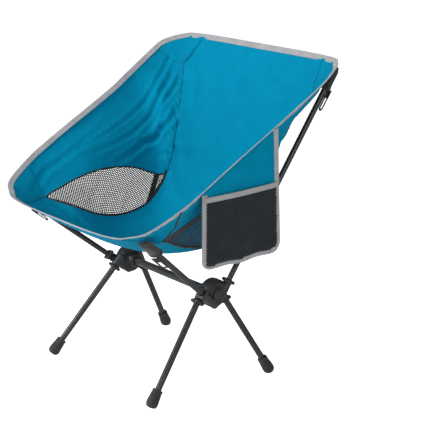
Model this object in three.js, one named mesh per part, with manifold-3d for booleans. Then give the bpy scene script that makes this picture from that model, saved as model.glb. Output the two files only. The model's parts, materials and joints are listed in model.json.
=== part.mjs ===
// Ultralight backpacking chair: two moulded hubs on a crossbar hold four plug-in legs and four poles,
// and the poles stretch a fabric sling with side mesh windows and a hanging pocket.
// Millimetres, +Z up, the sitter faces -Y, and +X is the sitter's left.

import * as THREE from "three";
import { mergeVertices } from "three/addons/utils/BufferGeometryUtils.js";
import Module from "manifold-3d";

const wasm = await Module();
wasm.setup();

// Driving dimensions.
const GAP = 0.3; // clearance between touching pieces
const OVERRUN = 5; // how far a cutter runs past the face that it opens
const TUBE_SIDES = 16;
const HUB_SIDES = 24;

// Hubs: their centres lie at (+-x, y, z) and their drums turn about X.
const HUB = { x: 144.6, y: 26.8, z: 193.1, radius: 29.5, inboard: -11, outboard: 17, bevel: 4 };
const HUB_CAP = { radius: 13, height: 5, rim: 1.2 };
const CROSSBAR = { radius: 8, wall: 0.9, socketRadius: 12.5, socketLength: 17.5, endInHub: 4 };

// Legs: "axis" is where the leg's axis crosses the level of the hub's centre, from that centre, and
// "ball" is the centre of the rounded foot. The mouth and the depth are measured along the axis.
const LEGS = {
  front: { axis: [-1.0, -29.9, 0], ball: [178.5, -150, 11], mouth: 20, depth: 32 },
  rear: { axis: [-6.4, 21.5, 0], ball: [178.5, 150, 11], mouth: 29, depth: 47 },
};
const LEG_TUBE = { radius: 6.5, wall: 0.8 };
const FOOT = { ball: 12, neck: 9.8, length: 26, seat: 3, cutSize: 72 };

// Poles: "axis" is the point of the pole's axis nearest to the hub's own axis, from the hub's centre,
// and "end" is where the tube ends, under a corner of the sling.
const POLES = {
  front: { axis: [4.6, 0, -24.2], end: [224.8, -196.2, 353.6], mouth: 60, inner: 4 },
  rear: { axis: [9.7, 19.1, 0], end: [227.2, 265.8, 631], mouth: 28, inner: 13 },
};
const POLE_TUBE = { radius: 5.8, wall: 0.8 };
const POLE_TIP = { radius: 6.2, stem: 12 };
const FERRULE = { length: 70, wall: 0.7, share: 0.52 };
const SOCKET_WALL = 2.8;
const COLLAR = { width: 23, length: 7, round: 4 };
const CORD_RADIUS = 1.5;
const CORD_SIDES = 8;
const KNOT_RADIUS = 3.4;

// Sling: three guide lines run from the front edge up to the top edge. "middle" is the line down the
// chair's centre, "seam" joins the seat and back to a side, and "rim" is the free side edge.
const FABRIC = 1.2;
const MIDDLE = [
  [0, -246, 361], [0, -190, 328], [0, -146, 305], [0, -105, 286], [0, -48, 266], [0, 10, 262],
  [0, 72, 275], [0, 112, 303], [0, 142, 350], [0, 182, 425], [0, 212, 490], [0, 235, 553],
  [0, 257, 612], [0, 275, 658],
];
const SEAM = [
  [193, -240, 366], [201, -190, 353], [205, -146, 343], [165, -105, 325], [151, -45, 301],
  [150, 15, 295], [150, 74, 307], [149, 108, 335], [147, 135, 376], [141, 143, 452],
  [166, 178, 513], [203, 215, 569], [223, 238, 618], [231, 266, 657],
];
const RIM = [
  [203, -236, 367], [246, -211, 383], [268, -150, 420], [272.5, -100, 449], [272.5, -45, 481],
  [272, 15, 515], [273, 74, 549], [275, 105, 569], [277, 132, 586], [279.5, 165, 607],
  [280.5, 190, 623], [278, 212, 638], [263, 240, 649], [238, 264, 656.5],
];
// How far a side is hollowed between its seam and its rim, at each guide station.
const HOLLOW = [0, 0, 0, 0, 13, 16, 15, 12, 8, 4, 0, 0, 0, 0];
const WINDOW = { first: 2, last: 8, share: 1.81, bluntness: 0.8, taper: 1.35 };
const BINDING = { width: 12, thickness: 2.4, outside: 8, cutDepth: 12 };
const SEAM_GAP = 0.5;
const STEPS_ALONG = 2; // grid rows between two guide stations
const STEPS_ACROSS = { middle: 8, side: 4, window: 3, patch: 5, end: 10 };
// How round the middle panel is across, and how much more so near its two ends.
const BOWL = { round: 2, cornerRound: 3, cornerReach: 6 };
const SIDE_MARGIN = 0.5; // stations left out at each narrow end of a side panel
const CORNER_MARGIN = 0.8;
const NORMAL_STEP = 0.02;
const WIDEST_INSET = 0.3; // the most of a narrow panel's width that its seam gap may take
const POINT_MARGIN = 0.06; // stations by which a panel stops short of a point where its edges meet
const PATCH = {
  lift: 2.4, thickness: 0.8, frontEnd: 1.9, rearStart: 10.4, seamStart: 11.5, across: 0.18, rise: 0.98,
};

// Corner pouches on the underside take the pole tips, and each has a webbing pull loop.
const POUCH = {
  width: 27, thickness: 16, bore: 6.8, length: 50, floor: 2.5, beyondTip: 10, round: 7.2, frontStation: 0.9,
  stationsFromTop: 1,
};
const LOOP = {
  width: 16, length: 46, thickness: 1.8, round: 6.4, slotWidth: 7, slotLength: 22, slotRound: 3.15,
  slotEdge: 6.4, drop: 10.5, sewnLength: 3,
};

// Pocket flap that hangs from the left rim, drawn in the plane of Y and Z.
const FLAP = {
  x: 274.3, front: -104.5, rear: 77, bottomFront: 296, bottomRear: 300, bottomBack: 88.5, corner: 18,
  smallestRound: 2, topGap: 3, thickness: 1.2, depth: 5.2, wall: 0.8, bindingWidth: 11, mouthFront: 432.5,
  mouthRear: 438, meshBelowMouth: 8, openAbove: 40,
};
const RIM_RISE = 0.575; // rise of the left rim for each millimetre towards the back
const RIM_Z_AT_FRONT = 446.4; // its height where the flap begins

const DARK_FRAME = { color: 0x2b2c2e, roughness: 0.45, metalness: 0.4 };
const BLACK_PLASTIC = { color: 0x242426, roughness: 0.6, metalness: 0 };
const BLACK_RUBBER = { color: 0x1e1e1f, roughness: 0.85, metalness: 0 };
const TEAL_FABRIC = { color: 0x028cb1, roughness: 0.75, metalness: 0 };
const BLACK_MESH = { color: 0x1c2226, roughness: 0.8, metalness: 0 };
const GREY_TAPE = { color: 0xa9a9ae, roughness: 0.8, metalness: 0 };
const BLACK_WEBBING = { color: 0x1b1b1c, roughness: 0.85, metalness: 0 };
const GREY_CORD = { color: 0x54565a, roughness: 0.8, metalness: 0 };

const SIDES = { left: 1, right: -1 };

function named(name, geometry, finish) {
  const mesh = new THREE.Mesh(geometry, new THREE.MeshStandardMaterial(finish));
  mesh.name = name;
  return mesh;
}

function solidOf(geometry) {
  const bare = geometry.index ? geometry.toNonIndexed() : geometry.clone();
  bare.deleteAttribute("normal");
  bare.deleteAttribute("uv");
  const merged = mergeVertices(bare, 1e-4);
  const mesh = new wasm.Mesh({
    numProp: 3,
    vertProperties: new Float32Array(merged.attributes.position.array),
    triVerts: new Uint32Array(merged.index.array),
  });
  return new wasm.Manifold(mesh);
}

function geometryOf(solid) {
  const mesh = solid.getMesh();
  const geometry = new THREE.BufferGeometry();
  geometry.setAttribute("position", new THREE.BufferAttribute(new Float32Array(mesh.vertProperties), 3));
  geometry.setIndex(new THREE.BufferAttribute(new Uint32Array(mesh.triVerts), 1));
  return geometry;
}

function union(geometries) {
  return geometries.map(solidOf).reduce((whole, piece) => whole.add(piece));
}

function mirrored(point, side) {
  return new THREE.Vector3(point[0] * side, point[1], point[2]);
}

function hubCentre(side) {
  return new THREE.Vector3(HUB.x * side, HUB.y, HUB.z);
}

// A frame whose Y runs along "direction" and whose X is as near as it can be to "across".
function frameAlong(origin, direction, across) {
  const y = direction.clone().normalize();
  const z = across.clone().cross(y).normalize();
  const x = y.clone().cross(z);
  return new THREE.Matrix4().makeBasis(x, y, z).setPosition(origin);
}

function place(mesh, frame) {
  frame.decompose(mesh.position, mesh.quaternion, mesh.scale);
  return mesh;
}

// A round body turned about Y from [radius, height] points.
function turned(profile, sides = TUBE_SIDES) {
  return new THREE.LatheGeometry(profile.map(([r, h]) => new THREE.Vector2(r, h)), sides);
}

function rod(length, radius, sides = TUBE_SIDES) {
  return turned([[0, 0], [radius, 0], [radius, length], [0, length]], sides);
}

function pipe(length, radius, wall, sides = TUBE_SIDES) {
  const inner = radius - wall;
  return turned([[inner, 0], [radius, 0], [radius, length], [inner, length], [inner, 0]], sides);
}

// A straight line of travel from "start" to "finish", as used by every leg and pole.
function lineBetween(start, finish) {
  const direction = finish.clone().sub(start);
  const length = direction.length();
  return { start, length, direction: direction.normalize() };
}

function pointOn(line, distance) {
  return line.start.clone().addScaledVector(line.direction, distance);
}

function legLine(end, side) {
  const start = hubCentre(side).add(mirrored(LEGS[end].axis, side));
  return lineBetween(start, mirrored(LEGS[end].ball, side));
}

function poleLine(end, side) {
  const start = hubCentre(side).add(mirrored(POLES[end].axis, side));
  return lineBetween(start, mirrored(POLES[end].end, side));
}

const ACROSS = new THREE.Vector3(1, 0, 0);

// Hubs.

function collar() {
  const half = COLLAR.width / 2;
  const outline = roundedOutline(
    [[-half, -half], [half, -half], [half, half], [-half, half]],
    COLLAR.round,
  );
  const block = new THREE.ExtrudeGeometry(outline, {
    depth: COLLAR.length, bevelEnabled: false, curveSegments: 3,
  });
  return block.rotateX(-Math.PI / 2);
}

// Places of the hub's sockets: one per leg and pole, each with its line and the bore's two ends.
function socketsOf(side) {
  const sockets = [];
  for (const end of ["front", "rear"]) {
    const leg = LEGS[end];
    const legBottom = leg.mouth - leg.depth;
    sockets.push({ line: legLine(end, side), from: legBottom, to: leg.mouth, radius: LEG_TUBE.radius });
    const pole = POLES[end];
    sockets.push({ line: poleLine(end, side), from: -pole.inner, to: pole.mouth, radius: POLE_TUBE.radius });
  }
  return sockets;
}

function inHub(geometry, line, distance, side) {
  const origin = pointOn(line, distance).sub(hubCentre(side));
  return geometry.applyMatrix4(frameAlong(origin, line.direction, ACROSS));
}

function alongX(geometry, start, side) {
  const frame = frameAlong(new THREE.Vector3(start * side, 0, 0), ACROSS.clone().multiplyScalar(side),
    new THREE.Vector3(0, 0, 1));
  return geometry.applyMatrix4(frame);
}

function hubGeometry(side) {
  const thickness = HUB.outboard - HUB.inboard;
  const inner = HUB.radius - HUB.bevel;
  const drum = turned([
    [0, 0], [inner, 0], [HUB.radius, HUB.bevel], [HUB.radius, thickness - HUB.bevel],
    [inner, thickness], [0, thickness],
  ], HUB_SIDES);
  const solids = [alongX(drum, HUB.inboard, side)];
  const crossSocket = rod(CROSSBAR.socketLength + OVERRUN, CROSSBAR.socketRadius, HUB_SIDES / 2);
  solids.push(alongX(crossSocket, HUB.inboard - CROSSBAR.socketLength, side));
  const bores = [];
  for (const socket of socketsOf(side)) {
    const arm = rod(socket.to - socket.from + SOCKET_WALL, socket.radius + SOCKET_WALL);
    solids.push(inHub(arm, socket.line, socket.from - SOCKET_WALL, side));
    solids.push(inHub(collar(), socket.line, socket.to - COLLAR.length, side));
    const bore = rod(socket.to - socket.from + OVERRUN, socket.radius + GAP);
    bores.push(inHub(bore, socket.line, socket.from, side));
  }
  const crossLength = CROSSBAR.socketLength - HUB.inboard + CROSSBAR.endInHub + GAP;
  const crossBore = rod(crossLength + OVERRUN, CROSSBAR.radius + GAP);
  bores.push(alongX(crossBore, HUB.inboard - CROSSBAR.socketLength - OVERRUN, side));
  return geometryOf(union(solids).subtract(union(bores)));
}

function hubCapGeometry(side) {
  const rings = 4;
  const profile = [[0, 0], [HUB_CAP.radius, 0]];
  for (let ring = 0; ring < rings; ring += 1) {
    const angle = (ring / rings) * (Math.PI / 2);
    profile.push([
      HUB_CAP.radius * Math.cos(angle),
      HUB_CAP.rim + (HUB_CAP.height - HUB_CAP.rim) * Math.sin(angle),
    ]);
  }
  profile.push([0, HUB_CAP.height]);
  return alongX(turned(profile, HUB_SIDES), HUB.outboard + GAP, side);
}

function addHubs(chair) {
  const group = new THREE.Group();
  for (const [sideName, side] of Object.entries(SIDES)) {
    const hub = named(`hub_${sideName}`, hubGeometry(side), BLACK_PLASTIC);
    const cap = named(`hub_cap_${sideName}`, hubCapGeometry(side), BLACK_PLASTIC);
    hub.position.copy(hubCentre(side));
    cap.position.copy(hubCentre(side));
    group.add(hub, cap);
  }
  const half = HUB.x + CROSSBAR.endInHub;
  const tube = named("crossbar_tube", pipe(2 * half, CROSSBAR.radius, CROSSBAR.wall), DARK_FRAME);
  const cord = named("crossbar_shock_cord", rod(2 * half, CORD_RADIUS, CORD_SIDES), GREY_CORD);
  const frame = frameAlong(new THREE.Vector3(-half, HUB.y, HUB.z), ACROSS, new THREE.Vector3(0, 0, 1));
  group.add(place(tube, frame), place(cord, frame));
  chair.add(group);
}

// Legs.

function footGeometry(side, line) {
  const seat = FOOT.seat;
  const bore = LEG_TUBE.radius + GAP;
  const profile = [[0, -FOOT.ball]];
  const steps = 6;
  for (let step = 1; step <= steps; step += 1) {
    const angle = (step / steps) * (Math.PI / 2) - Math.PI / 2;
    profile.push([FOOT.ball * Math.cos(angle), FOOT.ball * Math.sin(angle)]);
  }
  profile.push([FOOT.neck, FOOT.length], [bore, FOOT.length], [bore, seat], [0, seat]);
  // The profile runs from the ball towards the hub.
  const frame = frameAlong(new THREE.Vector3(), line.direction.clone().negate(), ACROSS);
  const body = solidOf(turned(profile).applyMatrix4(frame));
  const cutSize = FOOT.cutSize;
  const ground = new THREE.BoxGeometry(cutSize, cutSize, cutSize);
  ground.translate(0, 0, -cutSize / 2 - LEGS.front.ball[2]);
  return geometryOf(body.subtract(solidOf(ground)));
}

// A shock cord with the knot that stops it, turned about Y, the knot at the far end.
function knottedCord(length) {
  const knot = length - KNOT_RADIUS;
  return turned([
    [0, 0], [CORD_RADIUS, 0], [CORD_RADIUS, knot - KNOT_RADIUS],
    [KNOT_RADIUS, knot - KNOT_RADIUS / 2], [KNOT_RADIUS, knot + KNOT_RADIUS / 2],
    [CORD_RADIUS, length], [0, length],
  ], CORD_SIDES);
}

function addLegs(chair) {
  const group = new THREE.Group();
  for (const [sideName, side] of Object.entries(SIDES)) {
    for (const end of ["front", "rear"]) {
      const line = legLine(end, side);
      const top = LEGS[end].mouth - LEGS[end].depth + GAP;
      const bottom = line.length - FOOT.seat - GAP;
      const name = `${end}_${sideName}_leg`;
      const frame = frameAlong(pointOn(line, top), line.direction, ACROSS);
      const tube = named(`${name}_tube`, pipe(bottom - top, LEG_TUBE.radius, LEG_TUBE.wall), DARK_FRAME);
      const cord = named(`${name}_cord`, knottedCord(bottom - top), GREY_CORD);
      const foot = named(`${name}_foot`, footGeometry(side, line), BLACK_RUBBER);
      foot.position.copy(pointOn(line, line.length));
      group.add(place(tube, frame), place(cord, frame), foot);
    }
  }
  chair.add(group);
}

// Poles.

function tipGeometry() {
  const stem = POLE_TUBE.radius - POLE_TUBE.wall - GAP;
  const radius = POLE_TIP.radius;
  const profile = [[0, -POLE_TIP.stem], [stem, -POLE_TIP.stem], [stem, GAP], [radius, GAP]];
  const steps = 4;
  for (let step = 0; step < steps; step += 1) {
    const angle = (step / steps) * (Math.PI / 2);
    profile.push([radius * Math.cos(angle), 1 + radius * Math.sin(angle)]);
  }
  profile.push([0, 1 + radius]);
  return turned(profile);
}

function addPole(group, end, sideName, side) {
  const line = poleLine(end, side);
  const start = GAP - POLES[end].inner;
  const name = `${end}_${sideName}_pole`;
  const cordLength = line.length - start - POLE_TIP.stem - GAP;
  const cord = named(`${name}_cord`, knottedCord(cordLength), GREY_CORD);
  const tip = named(`${name}_tip`, tipGeometry(), BLACK_RUBBER);
  group.add(place(cord, frameAlong(pointOn(line, start), line.direction, ACROSS)));
  group.add(place(tip, frameAlong(pointOn(line, line.length), line.direction, ACROSS)));
  const spans = end === "front"
    ? [["tube", start, line.length]]
    : [
      ["lower_tube", start, line.length * FERRULE.share],
      ["upper_tube", line.length * FERRULE.share + GAP, line.length],
    ];
  for (const [part, from, to] of spans) {
    const tube = named(`${name}_${part}`, pipe(to - from, POLE_TUBE.radius, POLE_TUBE.wall), DARK_FRAME);
    group.add(place(tube, frameAlong(pointOn(line, from), line.direction, ACROSS)));
  }
  if (end === "rear") {
    const radius = POLE_TUBE.radius - POLE_TUBE.wall - GAP;
    const middle = line.length * FERRULE.share;
    const ferrule = named(`${name}_ferrule`, pipe(FERRULE.length, radius, FERRULE.wall), DARK_FRAME);
    const from = pointOn(line, middle - FERRULE.length / 2);
    group.add(place(ferrule, frameAlong(from, line.direction, ACROSS)));
  }
}

function addPoles(chair) {
  const group = new THREE.Group();
  for (const [sideName, side] of Object.entries(SIDES)) {
    addPole(group, "front", sideName, side);
    addPole(group, "rear", sideName, side);
  }
  chair.add(group);
}

// Sling surface.

function guide(points) {
  return new THREE.CatmullRomCurve3(points.map((p) => new THREE.Vector3(...p)), false, "catmullrom", 0.5);
}

const middleLine = guide(MIDDLE);
const seamLine = guide(SEAM);
const rimLine = guide(RIM);
const hollowLine = guide(HOLLOW.map((depth) => [depth, 0, 0]));
const UP = new THREE.Vector3(0, 0, 1);
const LAST = MIDDLE.length - 1;

// A point of the sling: "station" runs from 0 at the front edge to LAST at the top edge, and
// "reach" is 0 on the middle line, 1 on a seam and 2 on a rim, negative on the right-hand side.
function slingPoint(station, reach) {
  const side = Math.sign(reach) || 1;
  const along = THREE.MathUtils.clamp(station / LAST, 0, 1);
  const away = Math.abs(reach);
  const seam = seamLine.getPoint(along);
  const point = new THREE.Vector3();
  if (away <= 1) {
    const middle = middleLine.getPoint(along);
    const endness = Math.abs(2 * along - 1) ** BOWL.cornerReach;
    const power = BOWL.round + BOWL.cornerRound * endness;
    point.lerpVectors(seam, middle, 1 - away ** power);
    point.x = seam.x * away;
  } else {
    const rise = rimLine.getPoint(along).sub(seam);
    const square = UP.clone().projectOnPlane(rise.clone().normalize()).normalize();
    const depth = hollowLine.getPoint(along).x * 4 * (away - 1) * (2 - away);
    point.copy(seam).addScaledVector(rise, away - 1).addScaledVector(square, depth);
  }
  point.x *= side;
  return point;
}

function slingNormal(station, reach) {
  const step = NORMAL_STEP;
  // The guide lines run together at the corners, so the normal is taken a little way in.
  const inside = THREE.MathUtils.clamp(station, CORNER_MARGIN, LAST - CORNER_MARGIN);
  const along = slingPoint(inside + step, reach).sub(slingPoint(inside - step, reach));
  const lowReach = Math.max(reach - step, -2);
  const highReach = Math.min(reach + step, 2);
  const across = slingPoint(inside, highReach).sub(slingPoint(inside, lowReach));
  return across.cross(along).normalize();
}

// A closed solid from a grid of points and their normals, "below" and "above" being its two faces'
// distances from the points. A looped grid joins its last row to its first.
function sheetGeometry(rows, normals, below, above, looped = false) {
  const height = rows.length;
  const width = rows[0].length;
  const positions = [];
  for (const level of [below, above]) {
    for (let i = 0; i < height; i += 1) {
      for (let j = 0; j < width; j += 1) {
        const p = rows[i][j].clone().addScaledVector(normals[i][j], level);
        positions.push(p.x, p.y, p.z);
      }
    }
  }
  const at = (level, i, j) => level * height * width + (i % height) * width + j;
  const index = [];
  const quad = (a, b, c, d) => index.push(a, b, c, a, c, d);
  const lastRow = looped ? height : height - 1;
  for (let i = 0; i < lastRow; i += 1) {
    for (let j = 0; j < width - 1; j += 1) {
      quad(at(1, i, j), at(1, i, j + 1), at(1, i + 1, j + 1), at(1, i + 1, j));
      quad(at(0, i, j), at(0, i + 1, j), at(0, i + 1, j + 1), at(0, i, j + 1));
    }
    quad(at(0, i, 0), at(1, i, 0), at(1, i + 1, 0), at(0, i + 1, 0));
    quad(at(0, i, width - 1), at(0, i + 1, width - 1), at(1, i + 1, width - 1), at(1, i, width - 1));
  }
  for (let j = 0; j < width - 1 && !looped; j += 1) {
    quad(at(0, 0, j), at(0, 0, j + 1), at(1, 0, j + 1), at(1, 0, j));
    quad(at(0, height - 1, j), at(1, height - 1, j), at(1, height - 1, j + 1), at(0, height - 1, j + 1));
  }
  const geometry = new THREE.BufferGeometry();
  geometry.setAttribute("position", new THREE.Float32BufferAttribute(positions, 3));
  geometry.setIndex(index);
  return geometry;
}

// A panel of the sling between two stations. "reaches" gives the panel's two edges at a station,
// and the panel stops SEAM_GAP short of both.
function panelGeometry(firstStation, lastStation, reaches, columns, below, above) {
  const rows = [];
  const normals = [];
  const count = Math.max(2, Math.round((lastStation - firstStation) * STEPS_ALONG));
  for (let i = 0; i <= count; i += 1) {
    const even = firstStation + ((lastStation - firstStation) * i) / count;
    const station = THREE.MathUtils.clamp(even, firstStation + POINT_MARGIN, lastStation - POINT_MARGIN);
    const [from, to] = reaches(station);
    const width = slingPoint(station, from).distanceTo(slingPoint(station, to));
    const inset = Math.min(SEAM_GAP / Math.max(width, 1), WIDEST_INSET) * (to - from);
    const row = [];
    const rowNormals = [];
    for (let j = 0; j <= columns; j += 1) {
      const reach = from + inset + ((to - from - 2 * inset) * j) / columns;
      row.push(slingPoint(station, reach));
      rowNormals.push(slingNormal(station, reach));
    }
    rows.push(row);
    normals.push(rowNormals);
  }
  return sheetGeometry(rows, normals, below, above);
}

// How far the mesh window reaches from the seam towards the rim: blunt in front, a long taper behind.
function windowShare(station) {
  const along = THREE.MathUtils.clamp((station - WINDOW.first) / (WINDOW.last - WINDOW.first), 0, 1);
  return WINDOW.share * along ** WINDOW.bluntness * (1 - along) ** WINDOW.taper;
}

// The same, straight between grid rows, so that the window and the side panel share one edge.
function windowReach(station) {
  const row = Math.floor(station * STEPS_ALONG);
  const low = windowShare(row / STEPS_ALONG);
  const high = windowShare((row + 1) / STEPS_ALONG);
  return THREE.MathUtils.lerp(low, high, station * STEPS_ALONG - row);
}

// Where a corner patch begins, measured like a reach. It ends at the rim.
function frontPatchStart(station) {
  return 1 - PATCH.across * (1 - station / PATCH.frontEnd);
}

function rearPatchStart(station) {
  if (station < PATCH.seamStart) {
    return 1 + (PATCH.rise * (PATCH.seamStart - station)) / (PATCH.seamStart - PATCH.rearStart);
  }
  return 1 - PATCH.across * Math.sqrt((station - PATCH.seamStart) / (LAST - PATCH.seamStart));
}

// Places round the whole edge of the sling, with the station and the reach of each.
function edgePlaces() {
  const places = [];
  const sideSteps = LAST * STEPS_ALONG;
  const endSteps = STEPS_ACROSS.end;
  for (let i = 0; i <= sideSteps; i += 1) {
    places.push([i / STEPS_ALONG, 2]);
  }
  for (let i = 0; i <= endSteps; i += 1) {
    places.push([LAST, 1 - (2 * i) / endSteps]);
  }
  for (let i = sideSteps; i >= 0; i -= 1) {
    places.push([i / STEPS_ALONG, -2]);
  }
  for (let i = 0; i <= endSteps; i += 1) {
    places.push([0, (2 * i) / endSteps - 1]);
  }
  return places;
}

// A strip round the edge, from "outside" millimetres beyond it to "inside" millimetres within it.
function edgeStrip(outside, inside, thickness) {
  const places = edgePlaces();
  const points = places.map(([station, reach]) => slingPoint(station, reach));
  const rows = [];
  const normals = [];
  for (let i = 0; i < places.length; i += 1) {
    const before = points[(i + places.length - 1) % places.length];
    const after = points[(i + 1) % places.length];
    const normal = slingNormal(...places[i]);
    const inward = normal.clone().cross(after.clone().sub(before)).normalize();
    const outer = points[i].clone().addScaledVector(inward, -outside);
    const inner = points[i].clone().addScaledVector(inward, inside);
    rows.push([inner, outer]);
    normals.push([normal, normal]);
  }
  return sheetGeometry(rows, normals, -thickness / 2, thickness / 2, true);
}

function addSling(chair) {
  const group = new THREE.Group();
  const half = FABRIC / 2;
  const cutter = solidOf(edgeStrip(BINDING.outside, BINDING.width + GAP, BINDING.cutDepth));
  const trimmed = (geometry) => geometryOf(solidOf(geometry).subtract(cutter));
  const middle = panelGeometry(0, LAST, () => [-1, 1], STEPS_ACROSS.middle, -half, half);
  group.add(named("seat_back_panel", trimmed(middle), TEAL_FABRIC));
  for (const [sideName, side] of Object.entries(SIDES)) {
    const ordered = (low, high) => (side > 0 ? [low, high] : [-high, -low]);
    const panel = panelGeometry(SIDE_MARGIN, LAST - SIDE_MARGIN,
      (s) => ordered(1 + windowReach(s), 2), STEPS_ACROSS.side, -half, half);
    group.add(named(`side_panel_${sideName}`, trimmed(panel), TEAL_FABRIC));
    const mesh = panelGeometry(WINDOW.first, WINDOW.last,
      (s) => ordered(1, 1 + windowReach(s)), STEPS_ACROSS.window, -half, half);
    group.add(named(`mesh_window_${sideName}`, mesh, BLACK_MESH));
    const top = PATCH.lift + PATCH.thickness;
    const front = panelGeometry(SIDE_MARGIN, PATCH.frontEnd,
      (s) => ordered(frontPatchStart(s), 2), STEPS_ACROSS.patch, PATCH.lift, top);
    const rear = panelGeometry(PATCH.rearStart, LAST - SIDE_MARGIN,
      (s) => ordered(rearPatchStart(s), 2), STEPS_ACROSS.patch, PATCH.lift, top);
    group.add(named(`front_${sideName}_corner_patch`, trimmed(front), TEAL_FABRIC));
    group.add(named(`rear_${sideName}_corner_patch`, trimmed(rear), TEAL_FABRIC));
  }
  group.add(named("edge_binding", edgeStrip(0, BINDING.width, BINDING.thickness), GREY_TAPE));
  chair.add(group);
}

// Pouches and pull loops.

// A frame at the pole's tip: Y runs back towards the hub, Z away from the fabric.
function pouchFrame(end, side) {
  const line = poleLine(end, side);
  const station = end === "front" ? POUCH.frontStation : LAST - POUCH.stationsFromTop;
  const normal = slingNormal(station, side);
  const back = line.direction.clone().negate();
  const across = back.clone().cross(normal.negate());
  return frameAlong(pointOn(line, line.length + POUCH.beyondTip), back, across);
}

function pouchGeometry() {
  const half = POUCH.width / 2;
  const high = POUCH.thickness / 2;
  const outline = roundedOutline([[-half, -high], [half, -high], [half, high], [-half, high]], POUCH.round);
  const body = new THREE.ExtrudeGeometry(outline, {
    depth: POUCH.length, bevelEnabled: false, curveSegments: 4,
  });
  body.rotateX(-Math.PI / 2);
  const bore = rod(POUCH.length, POUCH.bore).translate(0, POUCH.floor, 0);
  return geometryOf(solidOf(body).subtract(solidOf(bore)));
}

// A flat webbing loop that starts at the pouch's mouth and runs along the pole.
function loopGeometry() {
  const half = LOOP.width / 2;
  const outline = roundedOutline(
    [[-half, 0], [half, 0], [half, LOOP.length], [-half, LOOP.length]],
    LOOP.round,
  );
  const slotHalf = LOOP.slotWidth / 2;
  const slotEnd = LOOP.length - LOOP.slotEdge;
  const slotStart = slotEnd - LOOP.slotLength;
  outline.holes.push(roundedOutline(
    [[-slotHalf, slotStart], [slotHalf, slotStart], [slotHalf, slotEnd], [-slotHalf, slotEnd]],
    LOOP.slotRound,
  ));
  const plate = new THREE.ExtrudeGeometry(outline, {
    depth: LOOP.thickness, bevelEnabled: false, curveSegments: 3,
  });
  return plate;
}

function addCorners(chair) {
  const group = new THREE.Group();
  for (const [sideName, side] of Object.entries(SIDES)) {
    for (const end of ["front", "rear"]) {
      const frame = pouchFrame(end, side);
      const pouch = named(`${end}_${sideName}_pouch`, pouchGeometry(), BLACK_WEBBING);
      const loop = named(`${end}_${sideName}_pull_loop`, loopGeometry(), BLACK_WEBBING);
      const shift = new THREE.Matrix4().makeTranslation(0, POUCH.length - LOOP.sewnLength, LOOP.drop);
      group.add(place(pouch, frame), place(loop, frame.clone().multiply(shift)));
    }
  }
  chair.add(group);
}

// Pocket flap.

// An outline through the given corners, with every corner rounded.
function roundedOutline(corners, radii) {
  const shape = new THREE.Shape();
  const points = corners.map(([x, y]) => new THREE.Vector2(x, y));
  points.forEach((corner, i) => {
    const before = points[(i + points.length - 1) % points.length];
    const after = points[(i + 1) % points.length];
    const radius = Array.isArray(radii) ? radii[i] : radii;
    const enter = corner.clone().add(before.clone().sub(corner).setLength(radius));
    const leave = corner.clone().add(after.clone().sub(corner).setLength(radius));
    if (i === 0) {
      shape.moveTo(enter.x, enter.y);
    } else {
      shape.lineTo(enter.x, enter.y);
    }
    if (radius > 0) {
      shape.quadraticCurveTo(corner.x, corner.y, leave.x, leave.y);
    }
  });
  shape.closePath();
  return shape;
}

function rimHeight(y) {
  return RIM_Z_AT_FRONT + (y - FLAP.front) * RIM_RISE;
}

// The flap's outline moved in from its sides and bottom by "inset", up to its hinge line.
function flapCorners(inset, topFront, topRear) {
  return [
    [FLAP.front + inset, FLAP.bottomFront + inset],
    [FLAP.bottomBack - inset, FLAP.bottomRear + inset],
    [FLAP.rear - inset, topRear],
    [FLAP.front + inset, topFront],
  ];
}

function plate(outline, thickness, start) {
  const geometry = new THREE.ExtrudeGeometry(outline, {
    depth: thickness, bevelEnabled: false, curveSegments: 4,
  });
  // The outline's X becomes Y, its Y becomes Z, and its depth runs outwards along X.
  geometry.applyMatrix4(new THREE.Matrix4().set(0, 0, 1, start, 1, 0, 0, 0, 0, 1, 0, 0, 0, 0, 0, 1));
  return geometry;
}

function flapOutline(inset) {
  const slope = Math.hypot(1, RIM_RISE);
  const top = (y) => rimHeight(y) - FLAP.topGap * slope;
  const radius = Math.max(FLAP.corner - inset, FLAP.smallestRound);
  const corners = flapCorners(inset, top(FLAP.front + inset), top(FLAP.rear - inset));
  return roundedOutline(corners, [radius, radius, 0, 0]);
}

function pocketOutline(inset, lower) {
  const radius = Math.max(FLAP.corner - inset, FLAP.smallestRound);
  const corners = flapCorners(inset, FLAP.mouthFront - lower, FLAP.mouthRear - lower);
  return roundedOutline(corners, [radius, radius, 0, 0]);
}

function addPocket(chair) {
  const group = new THREE.Group();
  group.position.x = FLAP.x;
  const inner = FLAP.bindingWidth;
  const face = FLAP.thickness;
  const panel = plate(flapOutline(inner + GAP), face, 0);
  const outer = solidOf(plate(flapOutline(0), 2 * face, -face / 2));
  const opening = solidOf(plate(flapOutline(inner), 4 * face, -2 * face));
  const binding = geometryOf(outer.subtract(opening));
  const wall = FLAP.wall;
  const trayInset = inner + GAP;
  const tray = solidOf(plate(pocketOutline(trayInset, FLAP.meshBelowMouth), FLAP.depth, face + GAP));
  const hollowOutline = pocketOutline(trayInset + wall, -FLAP.openAbove);
  const hollow = solidOf(plate(hollowOutline, FLAP.depth, face + GAP - wall));
  const mesh = geometryOf(tray.subtract(hollow));
  group.add(named("pocket_panel", panel, TEAL_FABRIC));
  group.add(named("pocket_binding", binding, GREY_TAPE));
  group.add(named("pocket_mesh", mesh, BLACK_MESH));
  chair.add(group);
}

const chair = new THREE.Group();
addHubs(chair);
addLegs(chair);
addPoles(chair);
addSling(chair);
addCorners(chair);
addPocket(chair);

// The origin is on the ground in the middle of the chair's plan outline.
chair.updateMatrixWorld(true);
const outline = new THREE.Box3().setFromObject(chair, true);
chair.position.x = -(outline.min.x + outline.max.x) / 2;
chair.position.y = -(outline.min.y + outline.max.y) / 2;

export default chair;
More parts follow.
